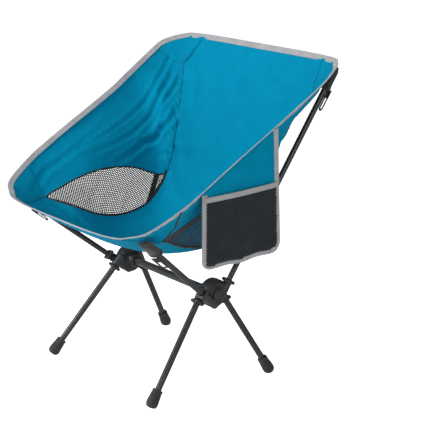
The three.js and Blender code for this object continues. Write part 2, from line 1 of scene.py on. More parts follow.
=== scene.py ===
"""Looks of an ultralight camp chair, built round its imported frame.

Two moulded hubs on a crossbar carry four legs and four poles, and the poles stretch a teal sling with
mesh windows, taped edges, corner pouches and a hanging side pocket. Everything is in metres, in the
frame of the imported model; sizes named in millimetres are turned into metres where they are used.
"""

import sys

import json
import logging
import math
from contextlib import contextmanager
from dataclasses import dataclass, field
from enum import Enum
from itertools import pairwise
from typing import Callable, Iterator, Optional, Sequence, Union

import bpy
import numpy as np
from mathutils import Matrix, Vector

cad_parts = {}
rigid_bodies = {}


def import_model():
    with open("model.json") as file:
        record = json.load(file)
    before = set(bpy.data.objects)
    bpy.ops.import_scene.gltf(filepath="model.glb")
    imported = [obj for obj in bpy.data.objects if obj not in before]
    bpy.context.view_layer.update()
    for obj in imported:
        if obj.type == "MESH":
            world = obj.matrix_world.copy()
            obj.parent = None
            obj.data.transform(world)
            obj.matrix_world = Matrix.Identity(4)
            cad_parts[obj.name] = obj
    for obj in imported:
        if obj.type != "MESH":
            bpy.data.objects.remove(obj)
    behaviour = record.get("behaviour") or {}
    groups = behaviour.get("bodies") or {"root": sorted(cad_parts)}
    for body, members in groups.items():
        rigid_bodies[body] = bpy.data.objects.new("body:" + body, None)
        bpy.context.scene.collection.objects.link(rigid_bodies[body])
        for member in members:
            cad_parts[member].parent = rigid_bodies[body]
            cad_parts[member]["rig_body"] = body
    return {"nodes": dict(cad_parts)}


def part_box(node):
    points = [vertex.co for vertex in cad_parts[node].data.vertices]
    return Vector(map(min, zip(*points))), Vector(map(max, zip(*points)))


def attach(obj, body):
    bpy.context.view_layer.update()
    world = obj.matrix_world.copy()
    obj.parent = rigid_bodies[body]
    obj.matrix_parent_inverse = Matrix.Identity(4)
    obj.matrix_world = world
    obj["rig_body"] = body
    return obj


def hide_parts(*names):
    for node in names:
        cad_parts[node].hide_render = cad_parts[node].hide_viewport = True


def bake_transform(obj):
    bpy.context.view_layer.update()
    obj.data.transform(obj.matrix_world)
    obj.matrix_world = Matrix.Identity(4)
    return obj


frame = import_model()

MM = 0.001
LOG = logging.getLogger("camp_chair")
Array = np.ndarray


class Side(Enum):
    """The two sides of the chair, as the sitter names them, with the sign of their X."""

    LEFT = 1
    RIGHT = -1

    @property
    def word(self) -> str:
        """The side's name as nodes spell it."""
        return self.name.lower()


class End(Enum):
    """The two ends of the chair."""

    FRONT = "front"
    REAR = "rear"


# ---------------------------------------------------------------- node trees


class Graph:
    """A shader node tree that is being filled."""

    def __init__(self, tree: bpy.types.NodeTree) -> None:
        """Keeps the tree."""
        self.tree = tree

    def add(self, kind: str, **inputs: object) -> bpy.types.Node:
        """Adds a node.

        Args:
            kind: The node's type without the leading ShaderNode.
            **inputs: Node properties, or input sockets with spaces written as underscores. A socket
                value that is itself a socket is linked.

        Returns:
            The new node.
        """
        node = self.tree.nodes.new(f"ShaderNode{kind}")
        sockets = {s.name.replace(" ", "_"): s for s in reversed(node.inputs)}
        for name, value in inputs.items():
            if name in sockets:
                self.put(value, sockets[name])
            else:
                setattr(node, name, value)
        return node

    def put(self, value: object, socket: bpy.types.NodeSocket) -> None:
        """Links a socket to another, or sets its value."""
        if isinstance(value, bpy.types.NodeSocket):
            self.tree.links.new(value, socket)
        else:
            socket.default_value = value

    def math(self, operation: str, first: object, second: object = 0.0) -> bpy.types.NodeSocket:
        """Adds a Math node.

        Args:
            operation: The node's operation.
            first: Its first value or socket.
            second: Its second value or socket.

        Returns:
            The node's output.
        """
        node = self.tree.nodes.new("ShaderNodeMath")
        node.operation = operation
        self.put(first, node.inputs[0])
        self.put(second, node.inputs[1])
        return node.outputs[0]

    def mix(self, factor: object, first: object, second: object) -> bpy.types.NodeSocket:
        """Mixes two colours.

        Args:
            factor: The share of the second colour.
            first: The first colour.
            second: The second colour.

        Returns:
            The mixed colour.
        """
        node = self.tree.nodes.new("ShaderNodeMix")
        node.data_type = "RGBA"
        self.put(factor, node.inputs[0])
        self.put(first, node.inputs[6])
        self.put(second, node.inputs[7])
        return node.outputs[2]

    def span(self, value: object, low: float, high: float, to_low: float,
             to_high: float) -> bpy.types.NodeSocket:
        """Maps a value from one range to another, clamped.

        Args:
            value: The value.
            low: Start of its range.
            high: End of its range.
            to_low: What low becomes.
            to_high: What high becomes.

        Returns:
            The mapped value.
        """
        node = self.add("MapRange", Value=value, From_Min=low, From_Max=high, To_Min=to_low,
                        To_Max=to_high)
        return node.outputs[0]


def new_group(name: str, inputs: dict[str, float], vector: bool, outputs: Sequence[str]) -> tuple:
    """Starts a node group.

    Args:
        name: The group's name.
        inputs: Its number inputs with their usual values.
        vector: Whether it takes a Vector first.
        outputs: Its outputs, all numbers.

    Returns:
        The group, its graph, its input sockets by name, and its output node.
    """
    group = bpy.data.node_groups.new(name, "ShaderNodeTree")
    if vector:
        group.interface.new_socket("Vector", in_out="INPUT", socket_type="NodeSocketVector")
    for title, value in inputs.items():
        socket = group.interface.new_socket(title, in_out="INPUT", socket_type="NodeSocketFloat")
        socket.default_value = value
    for title in outputs:
        group.interface.new_socket(title, in_out="OUTPUT", socket_type="NodeSocketFloat")
    graph = Graph(group)
    entry = group.nodes.new("NodeGroupInput")
    leave = group.nodes.new("NodeGroupOutput")
    return group, graph, {s.name: s for s in entry.outputs if s.name}, leave


def weave_group() -> bpy.types.NodeTree:
    """Plain weave: threads that pass over and under each other.

    Returns:
        The group. Vector is in metres, Pitch is one thread's width in metres. Height is the relief
        and Slub the uneven thickness of single threads.
    """
    group, graph, given, leave = new_group("plain_weave", {"Pitch": 0.0009}, True, ["Height", "Slub"])
    count = graph.math("DIVIDE", 1.0, given["Pitch"])
    scaled = graph.add("VectorMath", operation="SCALE")
    graph.put(given["Vector"], scaled.inputs[0])
    graph.put(count, scaled.inputs["Scale"])
    parts = graph.add("SeparateXYZ", Vector=scaled.outputs[0])
    waves = [graph.math("SINE", graph.math("MULTIPLY", parts.outputs[i], math.pi)) for i in (0, 1)]
    over = graph.math("MULTIPLY", waves[0], waves[1])
    ridges = graph.math("ADD", graph.math("ABSOLUTE", waves[0]), graph.math("ABSOLUTE", waves[1]))
    height = graph.math("ADD", graph.math("MULTIPLY", over, 0.5), graph.math("MULTIPLY", ridges, 0.25))
    graph.put(height, leave.inputs["Height"])
    stretched = graph.add("CombineXYZ", X=graph.math("MULTIPLY", parts.outputs[0], 0.9),
                          Y=graph.math("MULTIPLY", parts.outputs[1], 0.035))
    crossed = graph.add("CombineXYZ", X=graph.math("MULTIPLY", parts.outputs[0], 0.035),
                        Y=graph.math("MULTIPLY", parts.outputs[1], 0.9))
    slubs = [graph.add("TexNoise", Vector=v.outputs[0], Scale=1.0,
                       Detail=1.0).outputs[0] for v in (stretched, crossed)]
    graph.put(graph.math("MULTIPLY", graph.math("ADD", *slubs), 0.5), leave.inputs["Slub"])
    return group


def mottle_group() -> bpy.types.NodeTree:
    """Soft uneven patches, as of handling, dust or dye.

    Returns:
        The group. Vector is in metres, Size is a patch's width in metres. Patches runs 0 to 1.
    """
    group, graph, given, leave = new_group("mottle", {"Size": 0.04}, True, ["Patches", "Fine"])
    scale = graph.math("DIVIDE", 1.0, given["Size"])
    broad = graph.add("TexNoise", Vector=given["Vector"], Scale=scale, Detail=3.0, Roughness=0.55)
    fine = graph.add("TexNoise", Vector=given["Vector"], Scale=graph.math("MULTIPLY", scale, 9.0),
                     Detail=2.0)
    graph.put(graph.span(broad.outputs[0], 0.3, 0.7, 0.0, 1.0), leave.inputs["Patches"])
    graph.put(fine.outputs[0], leave.inputs["Fine"])
    return group


def wear_group() -> bpy.types.NodeTree:
    """Worn edges, broken up by noise.

    Returns:
        The group. Vector is in metres and Amount scales the mask Worn, which runs 0 to 1.
    """
    group, graph, given, leave = new_group("edge_wear", {"Amount": 1.0}, True, ["Worn"])
    sharp = graph.span(graph.add("NewGeometry").outputs["Pointiness"], 0.52, 0.6, 0.0, 1.0)
    broken = graph.add("TexNoise", Vector=given["Vector"], Scale=320.0, Detail=3.0)
    mask = graph.math("MULTIPLY", sharp, graph.span(broken.outputs[0], 0.4, 0.65, 0.0, 1.0))
    graph.put(graph.math("MULTIPLY", mask, given["Amount"]), leave.inputs["Worn"])
    return group


class Effects:
    """The node groups that several finishes share, each made once."""

    makers: dict[str, Callable[[], bpy.types.NodeTree]] = {
        "weave": weave_group, "mottle": mottle_group, "wear": wear_group,
    }
    made: dict[str, bpy.types.NodeTree] = {}

    @classmethod
    def place(cls, graph: Graph, name: str, **inputs: object) -> bpy.types.Node:
        """Puts a shared effect in a material.

        Args:
            graph: The material's graph.
            name: The effect's name in makers.
            **inputs: Its input values or sockets.

        Returns:
            The group node.
        """
        if name not in cls.made:
            cls.made[name] = cls.makers[name]()
        node = graph.tree.nodes.new("ShaderNodeGroup")
        node.node_tree = cls.made[name]
        for title, value in inputs.items():
            graph.put(value, node.inputs[title])
        return node


Colour = tuple[float, float, float]


def start_material(name: str) -> tuple[bpy.types.Material, Graph, bpy.types.Node]:
    """Makes a material with a bare Principled shader.

    Args:
        name: The material's name.

    Returns:
        The material, its graph and the shader node.
    """
    material = bpy.data.materials.new(name)
    material.use_nodes = True
    return material, Graph(material.node_tree), material.node_tree.nodes["Principled BSDF"]


def rgba(colour: Colour) -> tuple[float, float, float, float]:
    """The colour with an alpha of 1."""
    return (*colour, 1.0)


@dataclass(frozen=True)
class WovenFinish:
    """Woven cloth, tape, webbing or yarn, on UVs in metres."""

    name: str
    light: Colour
    dark: Colour
    pitch: float = 0.0008
    relief: float = 0.00012
    roughness: float = 0.72
    specular: float = 0.2
    sheen: float = 0.15
    sheen_tint: Colour = (1.0, 1.0, 1.0)
    crumple: float = 0.0
    rib: float = 0.0

    def build(self) -> bpy.types.Material:
        """Makes the material."""
        material, graph, shader = start_material(self.name)
        uv = graph.add("UVMap").outputs[0]
        weave = Effects.place(graph, "weave", Vector=uv, Pitch=self.pitch)
        mottle = Effects.place(graph, "mottle", Vector=uv, Size=0.035)
        shade = graph.math("ADD", graph.math("MULTIPLY", mottle.outputs["Patches"], 0.45),
                           graph.math("MULTIPLY", weave.outputs["Slub"], 0.75))
        # Adding the weave's height paints shade into the colour: darker in the hollows between threads,
        # lighter on their crests. The mottle patches and slubs are the cloth's own uneven tone.
        shade = graph.math("ADD", shade, graph.math("MULTIPLY", weave.outputs["Height"], 0.12))
        colour = graph.mix(graph.span(shade, 0.3, 0.95, 0.0, 1.0), rgba(self.dark), rgba(self.light))
        graph.put(colour, shader.inputs["Base Color"])
        rough = graph.span(mottle.outputs["Fine"], 0.3, 0.7, self.roughness - 0.06, self.roughness + 0.06)
        graph.put(rough, shader.inputs["Roughness"])
        shader.inputs["Specular IOR Level"].default_value = self.specular
        shader.inputs["Sheen Weight"].default_value = self.sheen
        shader.inputs["Sheen Roughness"].default_value = 0.45
        shader.inputs["Sheen Tint"].default_value = rgba(self.sheen_tint)
        threads = graph.add("Bump", Height=weave.outputs["Height"], Strength=0.7, Distance=self.relief)
        normal = threads.outputs[0]
        if self.rib:
            across = graph.add("SeparateXYZ", Vector=uv).outputs[0]
            ribs = graph.math("SINE", graph.math("MULTIPLY", across, 2 * math.pi / self.rib))
            normal = graph.add("Bump", Height=ribs, Strength=0.8, Distance=self.relief * 2,
                               Normal=normal).outputs[0]
        if self.crumple:
            folds = graph.add("TexNoise", Vector=uv, Scale=26.0, Detail=3.0, Distortion=0.4).outputs[0]
            normal = graph.add("Bump", Height=folds, Strength=0.6, Distance=self.crumple,
                               Normal=normal).outputs[0]
        graph.put(normal, shader.inputs["Normal"])
        return material


@dataclass(frozen=True)
class TubeFinish:
    """Anodised drawn aluminium, with drawing lines along the tube, on UVs in metres."""

    name: str
    light: Colour
    dark: Colour
    bare: Colour = (0.45, 0.46, 0.48)
    roughness: float = 0.36

    def build(self) -> bpy.types.Material:
        """Makes the material."""
        material, graph, shader = start_material(self.name)
        uv = graph.add("UVMap").outputs[0]
        place = graph.add("TexCoord").outputs["Object"]
        parts = graph.add("SeparateXYZ", Vector=uv)
        lines = graph.add("CombineXYZ", X=graph.math("MULTIPLY", parts.outputs[0], 900.0),
                          Y=graph.math("MULTIPLY", parts.outputs[1], 9.0))
        drawn = graph.add("TexNoise", Vector=lines.outputs[0], Scale=1.0, Detail=3.0).outputs[0]
        mottle = Effects.place(graph, "mottle", Vector=place, Size=0.03)
        worn = Effects.place(graph, "wear", Vector=place, Amount=0.25).outputs["Worn"]
        shade = graph.span(graph.math("ADD", drawn,
                                      graph.math("MULTIPLY", mottle.outputs["Patches"], 0.3)),
                           0.35, 0.95, 0.0, 1.0)
        colour = graph.mix(worn, graph.mix(shade, rgba(self.dark), rgba(self.light)), rgba(self.bare))
        graph.put(colour, shader.inputs["Base Color"])
        rough = graph.span(graph.math("ADD", drawn, mottle.outputs["Fine"]), 0.6, 1.4,
                           self.roughness - 0.08, self.roughness + 0.1)
        graph.put(rough, shader.inputs["Roughness"])
        shader.inputs["Metallic"].default_value = 0.35
        graph.put(graph.add("Bump", Height=drawn, Strength=0.35, Distance=0.00006).outputs[0],
                  shader.inputs["Normal"])
        return material


@dataclass(frozen=True)
class MouldedFinish:
    """Moulded nylon or rubber with a fine pebble grain, on object coordinates."""

    name: str
    light: Colour
    dark: Colour
    worn: Colour
    grain: float = 0.0011
    relief: float = 0.00008
    roughness: float = 0.5
    specular: float = 0.45

    def build(self) -> bpy.types.Material:
        """Makes the material."""
        material, graph, shader = start_material(self.name)
        place = graph.add("TexCoord").outputs["Object"]
        mottle = Effects.place(graph, "mottle", Vector=place, Size=0.018)
        wear = Effects.place(graph, "wear", Vector=place, Amount=0.6).outputs["Worn"]
        pebbles = graph.add("TexVoronoi", Vector=place, Scale=1 / self.grain,
                            feature="SMOOTH_F1").outputs["Distance"]
        colour = graph.mix(mottle.outputs["Patches"], rgba(self.dark), rgba(self.light))
        graph.put(graph.mix(wear, colour, rgba(self.worn)), shader.inputs["Base Color"])
        rough = graph.span(mottle.outputs["Fine"], 0.3, 0.7, self.roughness - 0.08, self.roughness + 0.08)
        graph.put(rough, shader.inputs["Roughness"])
        shader.inputs["Specular IOR Level"].default_value = self.specular
        bump = graph.add("Bump", Height=pebbles, Strength=0.5, Distance=self.relief, invert=True)
        graph.put(bump.outputs[0], shader.inputs["Normal"])
        return material


@dataclass(frozen=True)
class CordFinish:
    """Braided shock cord with flecks, on object coordinates."""

    name: str
    ground: Colour
    fleck: Colour

    def build(self) -> bpy.types.Material:
        """Makes the material."""
        material, graph, shader = start_material(self.name)
        place = graph.add("TexCoord").outputs["Object"]
        strands = graph.add("TexVoronoi", Vector=place, Scale=700.0).outputs["Distance"]
        spots = graph.add("TexNoise", Vector=place, Scale=240.0, Detail=1.0).outputs[0]
        colour = graph.mix(graph.span(spots, 0.52, 0.58, 0.0, 1.0), rgba(self.ground), rgba(self.fleck))
        graph.put(colour, shader.inputs["Base Color"])
        graph.put(graph.span(strands, 0.0, 0.8, 0.6, 0.9), shader.inputs["Roughness"])
        graph.put(graph.add("Bump", Height=strands, Strength=0.6, Distance=0.0003).outputs[0],
                  shader.inputs["Normal"])
        return material


class Finishes:
    """Every finish of the chair, built once."""

    def __init__(self) -> None:
        """Builds the materials."""
        self.teal = WovenFinish("teal_polyester", (0.0004, 0.236, 0.402), (0.0003, 0.205, 0.350),
                                pitch=0.0007,
                                crumple=0.0011, specular=0.02, sheen=0.01,
                                sheen_tint=(0.1, 0.8, 1.0)).build()
        self.tape = WovenFinish("grey_edge_tape", (0.46, 0.46, 0.475), (0.33, 0.33, 0.345), pitch=0.0008,
                                relief=0.0002, rib=0.0021, sheen=0.2).build()
        self.dark_tape = WovenFinish("black_seam_tape", (0.022, 0.023, 0.025), (0.012, 0.012, 0.014),
                                     relief=0.0002, rib=0.0018).build()
        self.net = WovenFinish("black_net_yarn", (0.022, 0.026, 0.030), (0.010, 0.012, 0.015),
                               pitch=0.0005, sheen=0.1).build()
        self.pouch = WovenFinish("black_pouch_cloth", (0.045, 0.045, 0.047), (0.022, 0.022, 0.024),
                                 pitch=0.0011, relief=0.0003, sheen=0.25).build()
        self.webbing = WovenFinish("black_webbing", (0.035, 0.035, 0.037), (0.016, 0.016, 0.018),
                                   pitch=0.0016,
                                   relief=0.0004, rib=0.0032, sheen=0.2).build()
        self.thread = WovenFinish("pale_thread", (0.55, 0.55, 0.57), (0.38, 0.38, 0.4),
                                  pitch=0.0003).build()
        self.teal_thread = WovenFinish("teal_thread", (0.001, 0.05, 0.09), (0.0008, 0.03, 0.06),
                                       pitch=0.0003).build()
        self.tube = TubeFinish("dark_anodised_tube", (0.022, 0.022, 0.023), (0.014, 0.014, 0.015)).build()
        self.ferrule = TubeFinish("plain_ferrule", (0.3, 0.3, 0.31), (0.2, 0.2, 0.21)).build()
        self.hub = MouldedFinish("moulded_black_nylon", (0.022, 0.022, 0.023), (0.013, 0.013, 0.014),
                                 (0.09, 0.09, 0.095)).build()
        self.rubber = MouldedFinish("foot_rubber", (0.042, 0.042, 0.043), (0.026, 0.026, 0.027),
                                    (0.12, 0.12, 0.12),
                                    grain=0.0015, relief=0.00016, roughness=0.74, specular=0.3).build()
        self.cord = CordFinish("shock_cord", (0.02, 0.02, 0.021), (0.25, 0.25, 0.26)).build()


# ---------------------------------------------------------------- modelling helpers


def deselect() -> None:
    """Leaves nothing selected."""
    bpy.ops.object.select_all(action="DESELECT")


def activate(obj: bpy.types.Object) -> None:
    """Makes obj the only selected and the active object."""
    deselect()
    obj.select_set(True)
    bpy.context.view_layer.objects.active = obj


@contextmanager
def editing(obj: bpy.types.Object, kind: str = "VERT") -> Iterator[None]:
    """Edit mode on obj, with nothing selected.

    Args:
        obj: The mesh to edit.
        kind: VERT, EDGE or FACE selection.

    Yields:
        Nothing; the block runs in edit mode.
    """
    activate(obj)
    bpy.ops.object.mode_set(mode="EDIT")
    bpy.ops.mesh.select_mode(type=kind)
    bpy.ops.mesh.select_all(action="DESELECT")
    yield
    bpy.ops.object.mode_set(mode="OBJECT")


def settle(obj: bpy.types.Object) -> bpy.types.Object:
    """Puts obj's place, turn and size into its mesh."""
    activate(obj)
    bpy.ops.object.transform_apply(location=True, rotation=True, scale=True)
    return obj


def modify(obj: bpy.types.Object, kind: str, **settings: object) -> bpy.types.Object:
    """Adds a modifier and applies it.

    Args:
        obj: The mesh.
        kind: The modifier's type.
        **settings: Its properties.

    Returns:
        The same object.
    """
    activate(obj)
    modifier = obj.modifiers.new(kind.lower(), kind)
    for name, value in settings.items():
        setattr(modifier, name, value)
    bpy.ops.object.modifier_apply(modifier=modifier.name)
    return obj


def smooth(obj: bpy.types.Object, degrees: float = 40.0) -> bpy.types.Object:
    """Shades obj smooth up to an angle."""
    activate(obj)
    bpy.ops.object.shade_smooth_by_angle(angle=math.radians(degrees))
    return obj


def turned(name: str, profile: Sequence[tuple[float, float]], segments: int = 48) -> bpy.types.Object:
    """Turns a body about Z by extruding and scaling a circle.

    Args:
        name: The object's name.
        profile: Radius and height of each ring, in millimetres. A body closes if the last ring is the
            first one again, or where a ring's radius is tiny.
        segments: Sides of each ring.

    Returns:
        The object, at the origin.
    """
    deselect()
    radius, height = profile[0]
    bpy.ops.mesh.primitive_circle_add(vertices=segments, radius=radius * MM, location=(0, 0, height * MM))
    obj = bpy.context.object
    obj.name = name
    with editing(obj):
        bpy.ops.mesh.select_all(action="SELECT")
        for (r0, z0), (r1, z1) in pairwise(profile):
            bpy.ops.mesh.extrude_region_move(TRANSFORM_OT_translate={"value": (0, 0, (z1 - z0) * MM)})
            if r0 != r1:
                bpy.ops.transform.resize(value=(r1 / r0, r1 / r0, 1), center_override=(0, 0, z1 * MM))
        bpy.ops.mesh.select_all(action="SELECT")
        bpy.ops.mesh.remove_doubles(threshold=0.00002)
        bpy.ops.mesh.normals_make_consistent(inside=False)
    return settle(obj)


def basis(origin: Vector, along: Vector, across: Vector) -> Matrix:
    """A frame whose Z runs along a direction.

    Args:
        origin: Its origin.
        along: The direction of its Z.
        across: What its X is nearest to.

    Returns:
        The frame as a matrix.
    """
    z = along.normalized()
    y = z.cross(across).normalized()
    x = y.cross(z)
    return Matrix.Translation(origin) @ Matrix((x, y, z)).transposed().to_4x4()


def put(obj: bpy.types.Object, place: Matrix) -> bpy.types.Object:
    """Moves obj by a matrix, in its mesh."""
    obj.matrix_world = place @ obj.matrix_world
    return settle(obj)


def joined(name: str, parts: Sequence[bpy.types.Object]) -> bpy.types.Object:
    """Joins objects into one.

    Args:
        name: The joined object's name.
        parts: The objects.

    Returns:
        The joined object.
    """
    activate(parts[0])
    for part in parts:
        part.select_set(True)
    bpy.ops.object.join()
    whole = bpy.context.object
    whole.name = whole.data.name = name
    return whole


def round_uv(obj: bpy.types.Object, place: Matrix) -> None:
    """Gives a turned body UVs in metres, round it and along it.

    Args:
        obj: The body.
        place: The frame whose Z is the body's axis.
    """
    mesh = obj.data
    layer = mesh.uv_layers.active or mesh.uv_layers.new(name="UVMap")
    inverse = place.inverted()
    local = [inverse @ v.co for v in mesh.vertices]
    reach = max(p.xy.length for p in local)
    for polygon in mesh.polygons:
        turns = [math.atan2(local[v].y, local[v].x) for v in polygon.vertices]
        for loop, vertex, turn in zip(polygon.loop_indices, polygon.vertices, turns):
            if turn - min(turns) > math.pi:
                turn -= 2 * math.pi
            layer.data[loop].uv = (turn * reach, local[vertex].z)


def dress(obj: bpy.types.Object, body: str, material: bpy.types.Material,
          nodes: Sequence[str] = ()) -> bpy.types.Object:
    """Gives a finished piece its material, its body and the nodes that it stands for.

    Args:
        obj: The piece.
        material: Its material.
        nodes: The CAD nodes it replaces.

    Returns:
        The piece.
    """
    obj.data.materials.clear()
    obj.data.materials.append(material)
    if body:
        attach(obj, body)
    if nodes:
        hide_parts(*nodes)
    LOG.info("%s: %d faces", obj.name, len(obj.data.polygons))
    return obj


def cloth_mesh(name: str, points: Array, uv: Array, looped: bool = False) -> bpy.types.Object:
    """A sheet from a grid of points.

    Args:
        name: The object's name.
        points: Rows by columns by 3, in metres.
        uv: Rows by columns by 2, in metres, with one more row than points if looped.
        looped: Whether the last row joins the first.

    Returns:
        The object.
    """
    rows, columns = points.shape[:2]
    index = np.arange(rows * columns).reshape(rows, columns)
    flat = np.arange(uv.shape[0] * columns).reshape(uv.shape[0], columns)
    if looped:
        index = np.vstack([index, index[:1]])
    corners = [index[:-1, :-1], index[:-1, 1:], index[1:, 1:], index[1:, :-1]]
    faces = np.stack(corners, -1).reshape(-1, 4)
    places = np.stack([flat[:-1, :-1], flat[:-1, 1:], flat[1:, 1:], flat[1:, :-1]], -1)[: len(index) - 1]
    return mesh_of(name, points.reshape(-1, 3), faces, uv.reshape(-1, 2)[places.reshape(-1, 4)])


def mesh_of(name: str, points: Array, faces: Array, uv: Array) -> bpy.types.Object:
    """An object from plain arrays, shaded smooth.

    Args:
        name: The object's name.
        points: Vertices by 3.
        faces: Faces by corners, as vertex numbers.
        uv: Faces by corners by 2.

    Returns:
        The object.
    """
    mesh = bpy.data.meshes.new(name)
    mesh.from_pydata(points.tolist(), [], faces.tolist())
    layer = mesh.uv_layers.new(name="UVMap")
    layer.data.foreach_set("uv", uv.astype(np.float32).ravel())
    mesh.polygons.foreach_set("use_smooth", np.ones(len(faces), bool))
    mesh.update()
    obj = bpy.data.objects.new(name, mesh)
    bpy.context.scene.collection.objects.link(obj)
    return obj


def closed(obj: bpy.types.Object) -> bpy.types.Object:
    """Fills the open ends of a hollow piece and turns its faces outward."""
    with editing(obj, "EDGE"):
        bpy.ops.mesh.select_all(action="SELECT")
        bpy.ops.mesh.fill_holes(sides=0)
        bpy.ops.mesh.select_all(action="SELECT")
        bpy.ops.mesh.normals_make_consistent(inside=False)
    return obj


def thicken(obj: bpy.types.Object, millimetres: float) -> bpy.types.Object:
    """Gives a sheet its thickness, half on each side."""
    return modify(obj, "SOLIDIFY", thickness=millimetres * MM, offset=0.0, use_even_offset=False)


def unit(vectors: Array) -> Array:
    """The vectors, each with a length of 1."""
    return vectors / np.maximum(np.linalg.norm(vectors, axis=-1, keepdims=True), 1e-12)


def lengths(points: Array) -> Array:
    """The distance along a line of points, starting at 0."""
    return np.concatenate([[0.0], np.cumsum(np.linalg.norm(np.diff(points, axis=0), axis=1))])


def blurred(values: Array, reach: int = 4) -> Array:
    """The values round a loop, each one a soft mean of its neighbours."""
    window = np.hanning(2 * reach + 1)
    return sum(w * np.roll(values, k, axis=0) for w,
               k in zip(window / window.sum(), range(-reach, reach + 1)))


def spaced(points: Array, step: float) -> tuple[Array, Array]:
    """Even distances along a line.

    Args:
        points: The line's points.
        step: The wanted distance between two places.

    Returns:
        The fractional point numbers of the places, and their distances along the line.
    """
    along = lengths(points)
    places = np.linspace(0, along[-1], max(2, round(along[-1] / step) + 1))
    return np.interp(places, along, np.arange(len(points))), places


# ---------------------------------------------------------------- the sling's surface

LAST = 13.0
MIDDLE = ((0, -246, 361), (0, -190, 328), (0, -146, 305), (0, -105, 286), (0, -48, 266), (0, 10, 262),
          (0, 72, 275), (0, 112, 303), (0, 142, 350), (0, 182, 425), (0, 212, 490), (0, 235, 553),
          (0, 257, 612), (0, 275, 658))
SEAM = ((193, -240, 366), (201, -190, 353), (205, -146, 343), (165, -105, 325), (151, -45, 301),
        (150, 15, 295), (150, 74, 307), (149, 108, 335), (147, 135, 376), (141, 143, 452),
        (166, 178, 513), (203, 215, 569), (223, 238, 618), (231, 266, 657))
RIM = ((203, -236, 367), (246, -211, 383), (268, -150, 420), (272.5, -100, 449), (272.5, -45, 481),
       (272, 15, 515), (273, 74, 549), (275, 105, 569), (277, 132, 586), (279.5, 165, 607),
       (280.5, 190, 623), (278, 212, 638), (263, 240, 649), (238, 264, 656.5))

HOLLOW = tuple((depth, 0, 0) for depth in (0, 0, 0, 0, 13, 16, 15, 12, 8, 4, 0, 0, 0, 0))


def along_guide(points: Array, station: Array) -> Array:
    """Points of a smooth line through guide points.

    Args:
        points: The guide points.
        station: Places along the line, 0 at the first point and 1 further at each next one.

    Returns:
        A point for each station.
    """
    ends = np.vstack([2 * points[:1] - points[1:2], points, 2 * points[-1:] - points[-2:-1]])
    start = np.clip(np.floor(station).astype(int), 0, len(points) - 2)
    t = (station - start)[..., None]
    a, b, c, d = (ends[start + k] for k in range(4))
    return b + 0.5 * t * (c - a + t * (2 * a - 5 * b + 4 * c - d + t * (3 * (b - c) + d - a)))


@dataclass
class Fold:
    """A fold in the cloth: a line of places on the sling with its depth and width in millimetres."""

    side: Side
    places: tuple[tuple[float, float], ...]
    depth: float
    width: float


def both_sides(places: tuple[tuple[float, float], ...], depth: float, width: float) -> tuple[Fold, Fold]:
    """The same fold on either side of the chair."""
    return Fold(Side.RIGHT, places, depth, width), Fold(Side.LEFT, places, depth, width)


